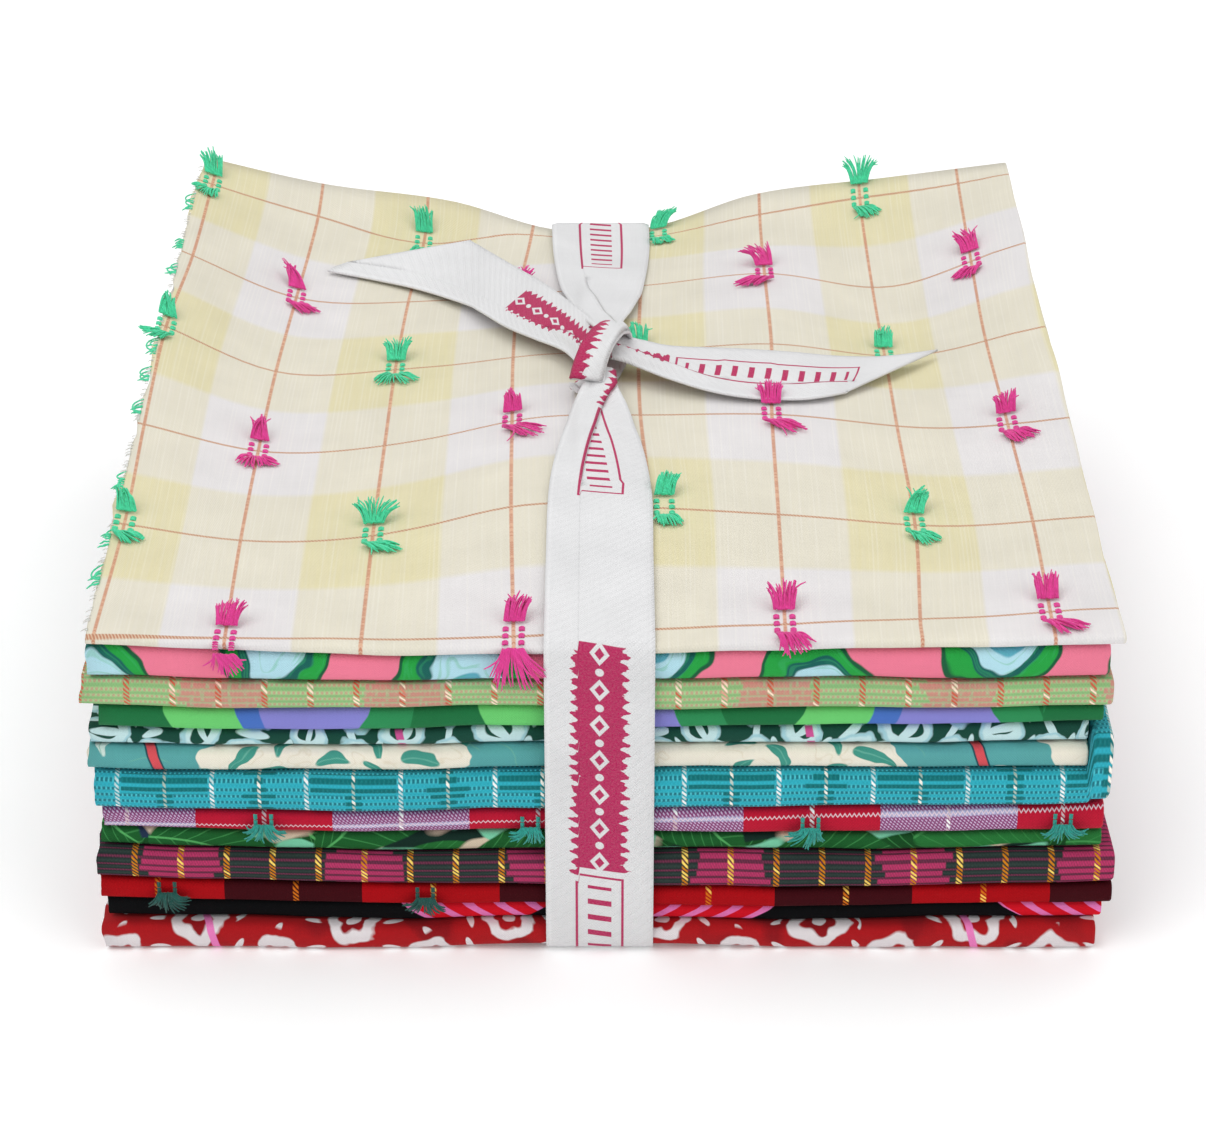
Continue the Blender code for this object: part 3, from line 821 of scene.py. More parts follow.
def use_group(group, *values, **sizes):
    """Places a group, and gives its outputs as fields.

    Values go to its sockets in order, and sizes to the sockets of their names.
    """
    tree = values[0].tree
    node = tree.nodes.new("ShaderNodeGroup")
    node.node_tree = group
    for slot, value in zip(node.inputs, values):
        feed(tree, slot, value)
    for name, value in sizes.items():
        feed(tree, node.inputs[name.replace("_", " ").title()], value)
    return [Field(tree, slot) for slot in node.outputs]


print("node groups so far:", len(bpy.data.node_groups))


# %% Build the shared effects
def weave_cotton(colour, across, along, pitch, slub, grain):
    """Yarns over and under with light and shade painted onto their crowns, thick and thin places, and uneven
    dye.
    """
    threads = across.wave(pitch) * along.wave(pitch)
    warp = clouds(across * 2.2, along * 0.06, 3.0, 0.0) - 0.5
    weft = clouds(across * 0.06, along * 1.9, 8.0, 0.0) - 0.5
    uneven = drift(across, along, 0.06, 15.0)
    streaks = warp * 1.3 + weft * 0.8
    # The threads term paints light and shade into the colour: lighter on the yarn crowns, darker where they
    # dip under. Grain sets how strong it is.
    shade = streaks * slub + threads * grain + uneven * 0.16 + 1.0
    shaded = add_node(colour.tree, "VectorMath", operation="SCALE", inputs={0: colour, "Scale": shade})
    height = threads * 0.35 + streaks * slub * 4.0 + 0.5
    roughness = uneven * 0.2 + threads * 0.04 + 0.84
    return shaded, height, roughness


def stitch_metal(off, run, column, half, stitch):
    """Slanted stitches of metal thread along a line; off is the distance from its middle."""
    slant = run + off * 0.8
    inside = off.near(half, 0.25)
    dash = slant.nearest(stitch).near(stitch * 0.28, 0.22)
    luck = chance(slant.number(stitch), column)
    return inside * dash, inside, inside * dash * luck.over(0.66, 0.02)


def dot_rows(across, along, row, dash):
    """Rows of short floats, each row half a dash further on."""
    number = along.number(row)
    line = along.nearest(row).near(row * 0.22, 0.2)
    return [line * (across + number * dash * 0.5).nearest(dash).near(dash * 0.3, 0.2)]


def stack_bricks(across, along, period, half, row):
    """Blocks of floating bars, whose ends step in and out from bar to bar."""
    column = across.number(period)
    step = chance(column, along.number(row), 2.0) * 3.2 - 1.6
    block = across.nearest(period).near(step + half, 0.3)
    bars = along.nearest(row).near(row * 0.34, 0.25)
    return block, block * bars


def scatter_cells(across, along, wide, high, turning):
    """Places inside cells in staggered columns, each turned by its own angle."""
    column = across.number(wide)
    shifted = along + column.odd() * high * 0.5
    row = shifted.number(high)
    x = across.nearest(wide)
    y = shifted.nearest(high)
    angle = (chance(column, row, 1.0) - 0.5) * turning
    cosine, sine = angle.calc("COSINE"), angle.calc("SINE")
    return x * cosine + y * sine, y * cosine - x * sine, chance(column, row, 9.0)


PLACE = {"Across": 0.0, "Along": 0.0}
COTTON = make_group(
    "Cotton weave", {"Colour": (1, 1, 1), **PLACE, "Pitch": 0.8, "Slub": 0.1, "Grain": 0.05},
    ("Colour", "Height", "Roughness"), weave_cotton)
METAL = make_group(
    "Metal stitches", {"Off": 0.0, "Run": 0.0, "Column": 0.0, "Half Width": 0.7, "Stitch": 1.2},
    ("Mask", "Band", "Glint"), stitch_metal)
DOTS = make_group("Dotted rows", {**PLACE, "Row": 1.5, "Dash": 1.0}, ("Mask",), dot_rows)
BRICKS = make_group(
    "Brick blocks", {**PLACE, "Period": 40.0, "Half Width": 8.0, "Row": 2.0}, ("Block", "Bars"), stack_bricks)
CELLS = make_group(
    "Scattered cells", {**PLACE, "Wide": 12.0, "High": 12.0, "Turning": 6.0}, ("X", "Y", "Chance"),
    scatter_cells)
print("node groups:", len(bpy.data.node_groups))

# %% [markdown]
# ## From a pattern to a material
#
# Each pattern is a function that takes a place on the flat cloth and gives a
# colour and a relief. The material reads that place from the UV map "Cloth",
# and ends the same way for every cloth: the weave group shades the colour and
# gives a height for the bump, and a dull Principled surface with a little sheen
# stands for cotton.

# %% Open and close a cloth's material
BUMP_HEIGHT = 0.25 * MM


def open_material(name):
    material = bpy.data.materials.new(name)
    material.use_nodes = True
    return material, material.node_tree


def set_surface(material, sockets):
    """Sets or links the sockets of the Principled surface."""
    shader = material.node_tree.nodes["Principled BSDF"]
    for title, value in sockets.items():
        feed(material.node_tree, shader.inputs[title], value)
    return material


def finish_cotton(material, drawn, x, y, pitch=0.8, slub=0.1, grain=0.05, sheen=0.05, gloss=0.2, bump=0.5):
    """Shades a drawn colour and relief with the weave, and wires the surface."""
    colour, relief = drawn
    shaded, height, roughness = use_group(COTTON, colour, x, y, pitch, slub, grain)
    normal = add_node(
        material.node_tree, "Bump", {"Strength": bump, "Distance": BUMP_HEIGHT, "Height": height + relief})
    return set_surface(material, {
        "Base Color": shaded, "Roughness": roughness, "Sheen Weight": sheen, "Specular IOR Level": gloss,
        "Normal": normal,
    })


def cotton_look(name, draw, **finish):
    """A cloth's material from the function that draws its pattern."""
    material, tree = open_material(name)
    x, y = split_metres(add_node(tree, "UVMap", uv_map="Cloth"), 2)
    return finish_cotton(material, draw(x, y), x, y, **finish)


print("cloth materials read the UV map Cloth")

# %% [markdown]
# ## Woven cloths: ticks, dotted rows and bricks
#
# Three of the folded cotton cloths are woven with a thick, ribbed weft. On the
# sage one, fine pink rows and copper ticks cross brick blocks of rose. The
# turquoise one has rows of dark dots, long bars, and stepped blocks round every
# second tick. The charcoal one has thin rose rows and gold ticks. All of that
# is worked out from the distances to the nearest tick, row and block.

# %% Weave the sage, turquoise and charcoal cloths
# Columns of metal ticks: where one stands, their pitch, half width and stitch
# in millimetres, then the shades of the thread and of its gleam.
TICKS = {
    "sage": (-109.3, 10.55, 0.72, 1.0, (206, 98, 72), (252, 232, 206)),
    "turquoise": (-113.1, 22.0, 0.5, 1.1, (196, 222, 224), (255, 255, 255)),
    "small turquoise": (-102.1, 22.0, 0.36, 1.3, (176, 196, 184), (255, 250, 240)),
    "charcoal": (-110.3, 10.8, 0.7, 1.0, (206, 128, 26), (255, 222, 110)),
    "crimson": (-79.4, 32.1, 0.5, 1.1, (214, 190, 196), (255, 255, 255)),
    "red": (-72.8, 32.6, 0.66, 1.0, (212, 112, 24), (255, 206, 96)),
}


def tick_marks(colour, x, y, kind):
    """Paints columns of metal stitches on a colour, and gives their mask too."""
    start, pitch, half, stitch, thread, gleam = TICKS[kind]
    off, column = (x - start).nearest(pitch), (x - start).number(pitch)
    mask, _, glint = use_group(METAL, off, y, column, half_width=half, stitch=stitch)
    return coat(colour, (thread, mask), (gleam, glint)), mask


def weave_sage(x, y):
    """Dotted rows, broken rose bricks and copper ticks."""
    rib = 1.45
    block, bars = use_group(BRICKS, x + 87.5, y + 0.4, period=42.4, half_width=8.6, row=rib)
    rows, = use_group(DOTS, x, y, row=rib, dash=1.1)
    broken = clouds(x * 0.8, y.number(rib) * 3.0, 6.0, 0.0).over(0.42, 0.1)
    colour = coat(
        dye(138, 184, 122), ((170, 206, 148), y.nearest(rib).near(rib * 0.22, 0.5)),
        ((196, 150, 128), rows * 0.75), ((186, 164, 140), block * 0.6),
        ((212, 118, 120), bars * broken * 0.6))
    colour, mask = tick_marks(colour, x, y, "sage")
    return colour, bars * 0.5 + mask * 0.9 + y.wave(rib) * 0.25


def weave_turquoise(x, y):
    """Dark dots, long bars between the white ticks, and stepped blocks round the small ones."""
    rib = 1.65
    small_tick, pitch = TICKS["small turquoise"][:2]
    cell = (x - small_tick).number(pitch)
    off = (x - small_tick).nearest(pitch)
    even = cell.odd().flip()
    rows, = use_group(DOTS, x, y, row=rib, dash=1.05)
    bar = y.nearest(rib).near(rib * 0.3, 0.25)
    long_bars = bar * (y - 2.6).near(2.2, 0.1) * even * off.near(10.0, 0.2)
    steps = chance(cell, y.number(rib), 4.0) * 4.5 + 1.0
    stepped = bar * off.near(steps, 0.3) * even.flip()
    small = bar * off.near(1.9, 0.3) * (y + 1.6).near(2.0, 0.1)
    dark = long_bars.most(stepped).most(small)
    colour = coat(
        dye(44, 170, 188), ((76, 198, 210), y.nearest(rib).near(rib * 0.18, 0.5)),
        ((8, 98, 112), rows * 0.85), ((0, 108, 110), dark * 0.9))
    colour, mask = tick_marks(colour, x, y, "turquoise")
    colour, small_mask = tick_marks(colour, x, y, "small turquoise")
    return colour, dark * 0.7 + mask * 0.8 + small_mask * 0.5 + rows * 0.4 + y.wave(rib) * 0.5


def weave_charcoal(x, y):
    """Thin rose rows, rose bricks and gold ticks."""
    rib = 1.75
    block, bars = use_group(BRICKS, x + 99.5, y, period=43.2, half_width=8.2, row=rib)
    twist = (x + y * 0.5).nearest(0.62).near(0.2, 0.2)
    fine = (y - rib / 2).nearest(rib).near(0.2, 0.3) * (twist * 0.5 + 0.5)
    colour = coat(
        dye(30, 42, 42), ((48, 62, 58), y.nearest(rib).near(rib * 0.2, 0.6)), ((128, 52, 84), fine * 0.8),
        ((184, 54, 102), bars * (twist * 0.35 + 0.65)), ((96, 40, 64), block * bars.flip() * 0.4))
    colour, mask = tick_marks(colour, x, y, "charcoal")
    return colour, bars * 0.7 + mask + y.wave(rib) * 0.5


print("kinds of metal ticks:", len(TICKS))

# %% [markdown]
# ## Woven cloths: large checks
#
# Two plain weaves change colour every 33 mm in both directions. Where a crimson
# warp meets a pale weft the two yarns alternate, which gives the lilac blocks
# their diagonal shimmer. A white zigzag row and short metal ticks are woven over
# the middle of the blocks.

# %% Weave the two checks
CHECK_DEEP = 33.0


def weave_crimson(x, y):
    """Crimson and lilac blocks, a white zigzag and pale ticks."""
    wide = TICKS["crimson"][1]
    pale_warp = (x + 111.55).number(wide).odd().flip()
    pale_weft = (y - 12.0).number(CHECK_DEEP).odd()
    lilac = pale_warp.most(pale_weft)
    twill = (x * 0.8 + y).nearest(0.78).near(0.17, 0.25) * (x - y * 0.4).nearest(0.9).near(0.3, 0.25)
    mixed = coat(dye(132, 56, 110), ((216, 196, 226), twill * 0.95))
    row = (y - x * 0.016 - 0.4).nearest(CHECK_DEEP)
    zigzag = (row - abs(x.nearest(1.1)) * 1.1 + 0.3).near(0.16)
    colour = coat(
        paint(dye(184, 10, 46), mixed, lilac), ((188, 196, 228), row.near(0.5, 0.4) * lilac * 0.7),
        ((240, 214, 224), zigzag * 0.85))
    # The cloth is drawn together towards its right edge, and its ticks with it.
    drawn = x + (x - 80.0).most(0.0) * 0.2
    colour, mask = tick_marks(colour, drawn, y, "crimson")
    return colour, zigzag * 0.7 + mask * 0.7


def weave_red(x, y):
    """Red and maroon blocks with gold ticks."""
    dark_warp = (x + 106.0).number(TICKS["red"][1]).odd()
    dark_weft = (y - 10.0).number(CHECK_DEEP).odd()
    colour = coat(dye(166, 8, 18), ((60, 5, 14), dark_warp), ((90, 6, 15), dark_weft * 0.6))
    return tick_marks(colour, x, y, "red")


print("checks change every", CHECK_DEEP, "mm along the cloth")

# %% [markdown]
# ## Printed cloths
#
# Seven of the cloths are printed, each with a plain repeat of rings, ovals,
# dots, leaves, patches or stripes. A picture could carry such a print, but it
# would blur close up, and a formula stays sharp on every fold. The shapes are
# ovals in scattered cells, and a little noise in the distances keeps their edges
# as soft as brushed paint.

# %% Print rings, patches and ovals
# Where each stripe starts inside a ring's rim, and across a slanted patch.
RING_STRIPES = (
    (0.0, (20, 92, 58)), (0.9, (34, 160, 66)), (3.4, (18, 96, 88)), (5.0, (178, 220, 232)),
    (8.0, (92, 170, 190)), (9.4, (16, 92, 84)), (11.4, (34, 160, 66)), (13.8, (178, 220, 232)),
    (16.4, (20, 92, 58)),
)
PATCHES = ((17.0, (106, 204, 112)), (33.0, (70, 112, 192)), (39.0, (134, 132, 208)), (62.0, (42, 140, 84)))
PATCH_REPEAT = 73.0


def print_rings(x, y):
    """Striped rings on pink."""
    across, along, luck = use_group(CELLS, x - 9.0, y - 16.0, wide=41.0, high=66.0, turning=0.7)
    reach = oval(across, along, 1.0, 1.75) + drift(x, y, 0.1, 2.0, 1.0) * 8.0
    inset = (reach * -1.0 + 15.0) + luck * 2.5
    brushed = clouds(inset * 1.6, (across + along) * 0.12, 9.0, 1.0).over(0.6, 0.08)
    stripes = [(shade, inset.over(start, 0.3)) for start, shade in RING_STRIPES]
    return coat(dye(236, 124, 150), *stripes, ((60, 178, 110), brushed * inset.over(1.2, 0.2) * 0.3)), 0.0


def print_patches(x, y):
    """Slanted patches of green and violet."""
    slant = x + (x.number(29.0).odd() * 2.0 - 1.0) * y * 0.45 + drift(x, y, 0.05, 6.0) * 6.0
    place = (slant + 8.0).nearest(PATCH_REPEAT) + PATCH_REPEAT / 2
    return coat(dye(24, 112, 62), *[(shade, place.over(start, 0.3)) for start, shade in PATCHES]), 0.0


def print_ovals(x, y):
    """Pale ovals with dark hearts, and brush dabs between them, on forest green."""
    shifted = x + drift(x, y, 0.05, 4.0, 1.0) * 14.0
    wander = drift(x, y, 0.3, 4.0, 1.0) * 0.6
    a, b, luck = use_group(CELLS, shifted, y - 1.0, wide=11.6, high=11.0, turning=1.9)
    rim = oval(a, b, luck * 2.0 + 4.6, 4.3) + wander
    heart = oval(a + 0.6, b - 0.4, luck * 1.6 + 2.2, 2.1) + wander
    pale = rim.under(1.0, 0.1) * heart.over(1.0, 0.1)
    c, d, _ = use_group(CELLS, shifted + 5.8, y + 3.0, wide=5.8, high=8.0, turning=3.4)
    dabs = (oval(c, d, 3.0, 0.9) + wander * 0.7).under(1.0)
    stitch = (x + y * 0.2 + 47.0).nearest(95.0).near(0.9, 0.2) * (y.wave(3.4) * 0.5).over(-0.3, 0.2)
    return coat(
        dye(14, 70, 56), ((196, 226, 228), pale.most(dabs)),
        ((130, 190, 204), pale * rim.over(0.84, 0.1) * 0.6), ((206, 84, 150), stitch)), 0.0


print("stripes in a ring:", len(RING_STRIPES), "patches in a repeat:", len(PATCHES))


# %% Print petals, leaves, stripes and buds
def print_petals(x, y):
    """Cream fields with teal leaves, and short coral bars on teal."""
    wander = clouds(x * 0.08, y * 0.12, 7.0) - 0.5
    field = (abs((x + 60.0).nearest(98.0)) + wander * 26.0).under(31.0, 0.4)
    a, b, luck = use_group(CELLS, x + wander * 10.0, y - 1.0, wide=10.5, high=8.4, turning=2.4)
    leaf = oval(a, b + a * a * 0.07, 4.4, 1.5).under(1.0, 0.12) * luck.over(0.2, 0.02)
    vein = (b + a * a * 0.06).near(0.14, 0.2) * leaf
    bar = (x + y * 0.35 + 104.0).nearest(192.0)
    return coat(
        dye(88, 163, 163), ((236, 230, 214), field),
        ((214, 200, 170), field * (wander * 24.0).nearest(5.0).near(0.12, 0.2) * 0.4),
        ((66, 150, 134), leaf * field), ((206, 226, 218), leaf * field.flip() * luck.over(0.75, 0.02)),
        ((110, 180, 160), vein * 0.7), ((30, 74, 84), bar.near(1.5, 0.2)),
        ((216, 80, 88), bar.near(1.05, 0.2))), 0.0


def print_leaves(x, y):
    """Overlapping dark leaves with light veins, in two layers with blots between them."""
    bend = clouds(x * 0.03, y * 0.03, 5.0, 1.0)
    colour = coat(dye(16, 44, 36), ((34, 50, 76), bend.over(0.58, 0.05)))
    for shift, green in ((0.0, (18, 74, 32)), (17.0, (26, 92, 42))):
        if shift:
            colour = coat(
                colour, ((212, 196, 172), clouds(x * 0.05, y * 0.09, 21.0, 1.0).over(0.55, 0.03)),
                ((122, 206, 168), clouds(x * 0.06, y * 0.1, 33.0, 1.0).over(0.57, 0.03)))
        a, b, luck = use_group(CELLS, x + shift, y + shift * 0.4 - 3.0, wide=36.0, high=20.0, turning=1.1)
        bow = b + a * a * 0.012 + (bend - 0.5) * 4.0
        leaf = oval(a, bow, 18.0, 7.4).under(1.0, 0.05)
        ribs = (a - abs(bow) * 1.1).nearest(3.3).near(0.16, 0.3)
        colour = coat(
            colour, (green, leaf), ((74, 160, 88), leaf * ribs * 0.6),
            ((92, 184, 104), leaf * bow.near(0.26, 0.25) * 0.8),
            ((46, 132, 62), leaf * luck.over(0.72, 0.02) * 0.5))
    return colour, 0.0


def print_stripes(x, y):
    """Black with patches of pink and red bias stripes."""
    near = abs((x + 30.0).nearest(142.0))
    middle = abs(x - 23.0)
    side = (middle - near).over(0.0, 0.01) * 2.0 - 1.0
    inside = (near.calc("MINIMUM", middle) - y * 1.6).under(15.0, 0.25)
    stripe = (x + y * side * 1.5).nearest(7.4)
    striped = coat(dye(218, 22, 40), ((236, 126, 192), stripe.near(1.35, 0.2)))
    return paint(dye(12, 13, 15), striped, inside), 0.0


def print_buds(x, y):
    """White rings with buds, and dabs between them, on red."""
    wander = drift(x, y, 0.2, 6.0) * 0.5
    a, b, luck = use_group(CELLS, x + 4.0 + wander * 8.0, y + 5.4, wide=18.5, high=21.0, turning=2.4)
    scallop = (a.calc("ARCTAN2", b) * 5.0).calc("COSINE") * 0.09
    rim = oval(a, b, luck * 2.4 + 5.2, 6.4) + wander * 0.5 + scallop
    ring = rim.under(1.0, 0.08) * rim.over(0.56, 0.08)
    bud = oval(a, b, 1.4, 1.9).under(1.0)
    c, d, _ = use_group(CELLS, x + 13.2, y + 2.2, wide=9.25, high=7.0, turning=3.0)
    dabs = oval(c, d, 2.5, 0.8).under(1.0) * rim.over(1.3, 0.1)
    return coat(
        dye(170, 14, 22), ((142, 10, 20), clouds(x * 0.09, y * 0.09, 3.0, 1.0).over(0.58, 0.1)),
        ((226, 220, 222), ring.most(bud).most(dabs)),
        ((236, 128, 192), (x + y * 0.3 + 93.0).nearest(181.0).near(0.9, 0.2))), 0.0


print("seven prints are drawn")

# %% [markdown]
# ## The top cloth's check
#
# The top cloth is a fine cotton with a windowpane check. Broad bands of white
# and yellow yarn cross, so that their overlaps give three tints. A copper line
# runs down the middle of every band, and another across the middle of every
# row, both of slanted stitches. The warp is slubby, which shows as fine upright
# streaks.

# %% Weave the cream check
LINE_START = -116.0
LINE_PITCH = 31.4
ROW_START = 4.0
ROW_PITCH = 50.4
COPPER_HALF = 0.42


def weave_cream(x, y):
    """White and yellow bands with thin copper lines both ways."""
    line = x - LINE_START
    row = y - ROW_START
    yellow_warp = line.nearest(2 * LINE_PITCH).near(LINE_PITCH / 2, 0.9)
    yellow_weft = abs(row.nearest(2 * ROW_PITCH)).over(ROW_PITCH / 2, 2.2)
    soften = clouds(x * 1.7, y * 0.045, 3.0, 0.0) * 0.2 + 0.86
    fine = x.nearest(1.05).near(0.16, 0.3) * clouds(x * 0.9, y * 0.012, 12.0, 0.0).over(0.54, 0.1)
    down, down_band, glint = use_group(
        METAL, abs(line.nearest(LINE_PITCH)), y, line.number(LINE_PITCH), half_width=COPPER_HALF, stitch=0.7)
    over, over_band, _ = use_group(
        METAL, row.nearest(ROW_PITCH), x, row.number(ROW_PITCH), half_width=COPPER_HALF, stitch=0.8)
    colour = coat(
        dye(221, 218, 218), ((218, 210, 171), (yellow_warp + yellow_weft) * 0.5 * soften),
        ((238, 235, 226), fine * 0.22), ((216, 168, 138), down_band * 0.8), ((190, 114, 84), down * 0.75),
        ((250, 214, 178), glint * 0.4), ((214, 182, 152), over_band * 0.8), ((178, 110, 80), over * 0.8))
    return colour, down * 0.8 + over * 0.8


print("check lines:", [round(LINE_START + number * LINE_PITCH, 1) for number in range(8)])

# %% [markdown]
# ## The printed tape
#
# The tape is a firm off-white cotton, printed in crimson: a strip with ragged
# edges and a row of small diamonds and dots spared in white, and then a long
# outlined box with short bars in it, with bare tape between. The print repeats,
# so it is drawn once, and each stretch of tape starts at its own place on it.

# %% Print the tape
PRINT_REPEAT = 178.7
STRIP_END = 62.0
STRIP_HALF = 6.9
BOX_START = STRIP_END + 1.5
BOX_END = 113.0
BOX_HALF = 5.4
DIAMOND_PITCH = 9.4
BAR_PITCH = 4.4


def print_tape(x, y):
    """A ragged strip with spared diamonds and dots, and a box of bars."""
    place = (y / PRINT_REPEAT).calc("FRACT") * PRINT_REPEAT
    ragged = abs(x) + abs(place.nearest(2.9)) * 1.3 + (clouds(x * 0.5, y * 0.9, 2.0) - 0.5) * 3.4
    diamond = abs(x) / 2.3 + abs((place - 3.0).nearest(DIAMOND_PITCH)) / 2.9
    dot = oval(x, (place - 3.0 - DIAMOND_PITCH / 2).nearest(DIAMOND_PITCH), 1.0, 1.0).under(1.0, 0.2)
    spared = (diamond.under(1.0, 0.1) * diamond.over(0.5, 0.1)).most(dot)
    printed_stretch = place.under(STRIP_END - 0.5, 0.2) * place.over(0.8, 0.2)
    strip = ragged.under(STRIP_HALF, 0.3) * spared.flip() * printed_stretch
    along = place - (BOX_START + BOX_END) / 2
    outside = (abs(along) - (BOX_END - BOX_START) / 2).most(abs(x) - BOX_HALF)
    bars = along.nearest(BAR_PITCH).near(0.75) * x.near(2.9) * outside.under(-2.6, 0.1)
    worn = clouds(x * 2.2, y * 2.2, 4.0) * 0.2 + 0.86
    selvedge = abs(x).over(11.6, 0.4)
    printed = strip.most(outside.near(0.3)).most(bars)
    colour = coat(dye(220, 220, 221), ((178, 18, 84), printed * worn), ((225, 225, 226), selvedge))
    return colour, (x + y).wave(1.1) * 0.25 + selvedge * 0.4


tape_look = cotton_look("tape_print", print_tape, slub=0.03, grain=0.03, sheen=0.06)
print("tape repeat:", PRINT_REPEAT, "mm")

# %% [markdown]
# ## Threads and the table
#
# The tufts are soft mercerised cotton, so their colour drifts between a darker
# and a lighter shade, with a faint twist. The table is a matt white board with
# the slightest grain.


# %% Dye the threads and the cloths, and paint the table
def thread_look(name, shade):
    """Bright cotton thread, whose colour drifts from strand to strand."""
    material, tree = open_material(name)
    x, y, z = split_metres(add_node(tree, "TexCoord", output="Object"), 3)
    darker, lighter = [part * 0.8 for part in shade], [min(255, part * 1.2 + 20) for part in shade]
    colour = coat(dye(*darker), (lighter, clouds(x * 1.4 + z, y * 1.4, 2.0, 3.0)))
    twist = (x + y * 0.8 + z * 1.2).wave(0.5) * 0.3
    return finish_cotton(material, (colour, twist), x, y, pitch=0.5, slub=0.05, grain=0.03, sheen=0.25)


def table_look():
    material, tree = open_material("table_top")
    spot = add_node(tree, "TexCoord", output="Object")
    grain = add_node(tree, "TexNoise", {"Scale": 40.0, "Vector": spot}, "Fac")
    return set_surface(material, {
        "Base Color": paint((0.96, 0.96, 0.96), (0.98, 0.98, 0.98), grain), "Roughness": 0.9,
        "Specular IOR Level": 0.1, "Emission Color": (1, 1, 1), "Emission Strength": 0.12,
    })


table.data.materials.append(table_look())
THREADS = {
    "tuft_green": (60, 200, 146), "tuft_pink": (240, 50, 134), "frayed_edge": (214, 214, 196),
    "tuft_teal": (30, 140, 128), "tuft_dark_green": (12, 70, 62),
}
threads = {name: thread_look(name, shade) for name, shade in THREADS.items()}
# Each cloth's pattern, and where its yarn and surface differ from plain cotton.
# In each finish, grain is how much light and shade the weave paints onto the yarn crowns.
FINE = {"pitch": 0.6, "slub": 0.05, "grain": 0.03}
LOOKS = {
    "cloth_13_red_scroll": (print_buds, FINE),
    "cloth_12_black_bias": (print_stripes, {"pitch": 0.6, "slub": 0.08, "sheen": 0.0, "gloss": 0.08}),
    "cloth_11_red_block": (weave_red, {"pitch": 0.75, "slub": 0.09, "sheen": 0.0, "gloss": 0.1}),
    "cloth_10_charcoal_brick": (
        weave_charcoal, {"pitch": 0.9, "slub": 0.12, "grain": 0.1, "sheen": 0.0, "gloss": 0.1}),
    "cloth_09_green_leaf": (
        print_leaves, {"pitch": 0.6, "slub": 0.06, "grain": 0.04, "sheen": 0.02, "gloss": 0.12}),
    "cloth_08_crimson_check": (weave_crimson, {"pitch": 0.75, "grain": 0.06}),
    "cloth_07_turquoise_brick": (weave_turquoise, {"pitch": 0.9, "grain": 0.08, "bump": 0.7}),
    "cloth_06_teal_bloom": (print_petals, {**FINE, "grain": 0.04}),
    "cloth_05_forest_brush": (print_ovals, FINE),
    "cloth_04_colour_block": (print_patches, {**FINE, "grain": 0.04}),
    "cloth_03_sage_brick": (weave_sage, {"pitch": 0.7}),
    "cloth_02_pink_ribbon": (print_rings, FINE),
    "cloth_01_cream_check": (weave_cream, {"pitch": 0.7, "slub": 0.035, "grain": 0.02, "sheen": 0.06}),
}
looks = {name: cotton_look(plain_name(name), draw, **finish) for name, (draw, finish) in LOOKS.items()}
print("materials:", len(bpy.data.materials))

# %% [markdown]
# ## Laying the cloths
#
# Each cloth is laid in the place of its solid. Two of them are bent first. The
# top cloth was folded a little askew, so its check lines wander by up to 12 mm:
# the cloth places are shifted until the even check falls where the real lines
# lie. The turquoise cloth is longer than the two above it, and its right-hand
# fold swells up beside them.

# %% Bend the check and the turquoise fold
CHECK_LINES = LINE_START + LINE_PITCH * np.arange(8)
CHECK_ROWS = ROW_START + ROW_PITCH * np.arange(6)
# How far right each line lies at each row from the front, in millimetres.
LINE_SHIFT = np.array((
    (0.2, 1.0, 0.0, -0.5, 1.6, 2.2), (-1.6, -2.7, -2.9, -2.6, -1.2, 1.1),
    (-2.0, -2.3, -2.5, -2.6, -1.6, 0.7), (1.4, -0.5, -1.5, -2.4, -2.2, 0.6),
    (1.4, 1.9, 0.0, 0.0, 1.2, 3.4), (0.7, 1.4, 2.2, 4.2, 4.8, 5.2),
    (0.5, 3.1, 2.9, 3.2, 3.5, 3.3), (-0.8, 0.1, -0.5, -1.0, 0.0, 0.5),
))
# How far back each row lies at each line from the left, in millimetres.
ROW_SHIFT = np.array((
    (-3.2, -2.2, -0.9, -0.3, 2.4, 3.2, 5.6, 8.0), (-2.4, -2.5, -0.8, 7.6, 6.3, 3.1, 2.6, 2.6),
    (-2.7, -2.9, 1.8, 9.7, 10.2, 8.0, 7.6, 4.7), (1.9, -4.2, 2.8, 6.9, 6.8, 5.3, 3.8, 5.8),
    (-1.3, -3.8, 1.9, 8.4, 12.4, 11.4, 4.4, 7.9), (-2.2, -0.5, -5.0, 6.8, 5.0, 4.5, 6.7, 5.5),
))
# The shifts stay the same past these places, across and along.
SHIFT_ACROSS = (-122.0, 112.0)
SHIFT_ALONG = (0.0, 268.0)


def skew_check(places, marks, level):
    """Cloth places whose even check lines fall where the real ones lie."""
    spots = marks / MM
    even = spots.copy()
    for _ in range(5):
        at_line = curve_weights(CHECK_LINES, np.clip(even[..., 0], *SHIFT_ACROSS))
        at_row = curve_weights(CHECK_ROWS, np.clip(even[..., 1], *SHIFT_ALONG))
        right = ((at_line @ LINE_SHIFT) * at_row).sum(axis=1).reshape(even.shape[:2])
        back = ((at_row @ ROW_SHIFT) * at_line).sum(axis=1).reshape(even.shape[:2])
        even = spots - np.stack([right, back], axis=2)
    return places, even * MM


# The fold swells by this much, past this stretch across, and less further back.
SWELL = 11.0 * MM
SWELL_FROM, SWELL_FULL = 112.7 * MM, 114.0 * MM
SWELL_DEEP, SWELL_END = 38 * MM, 74 * MM
SWELL_ACROSS = np.concatenate([ACROSS, (110.5, 112.2, 112.8, 113.1, 113.4, 113.8, 114.4, 115.4, 116.6)])


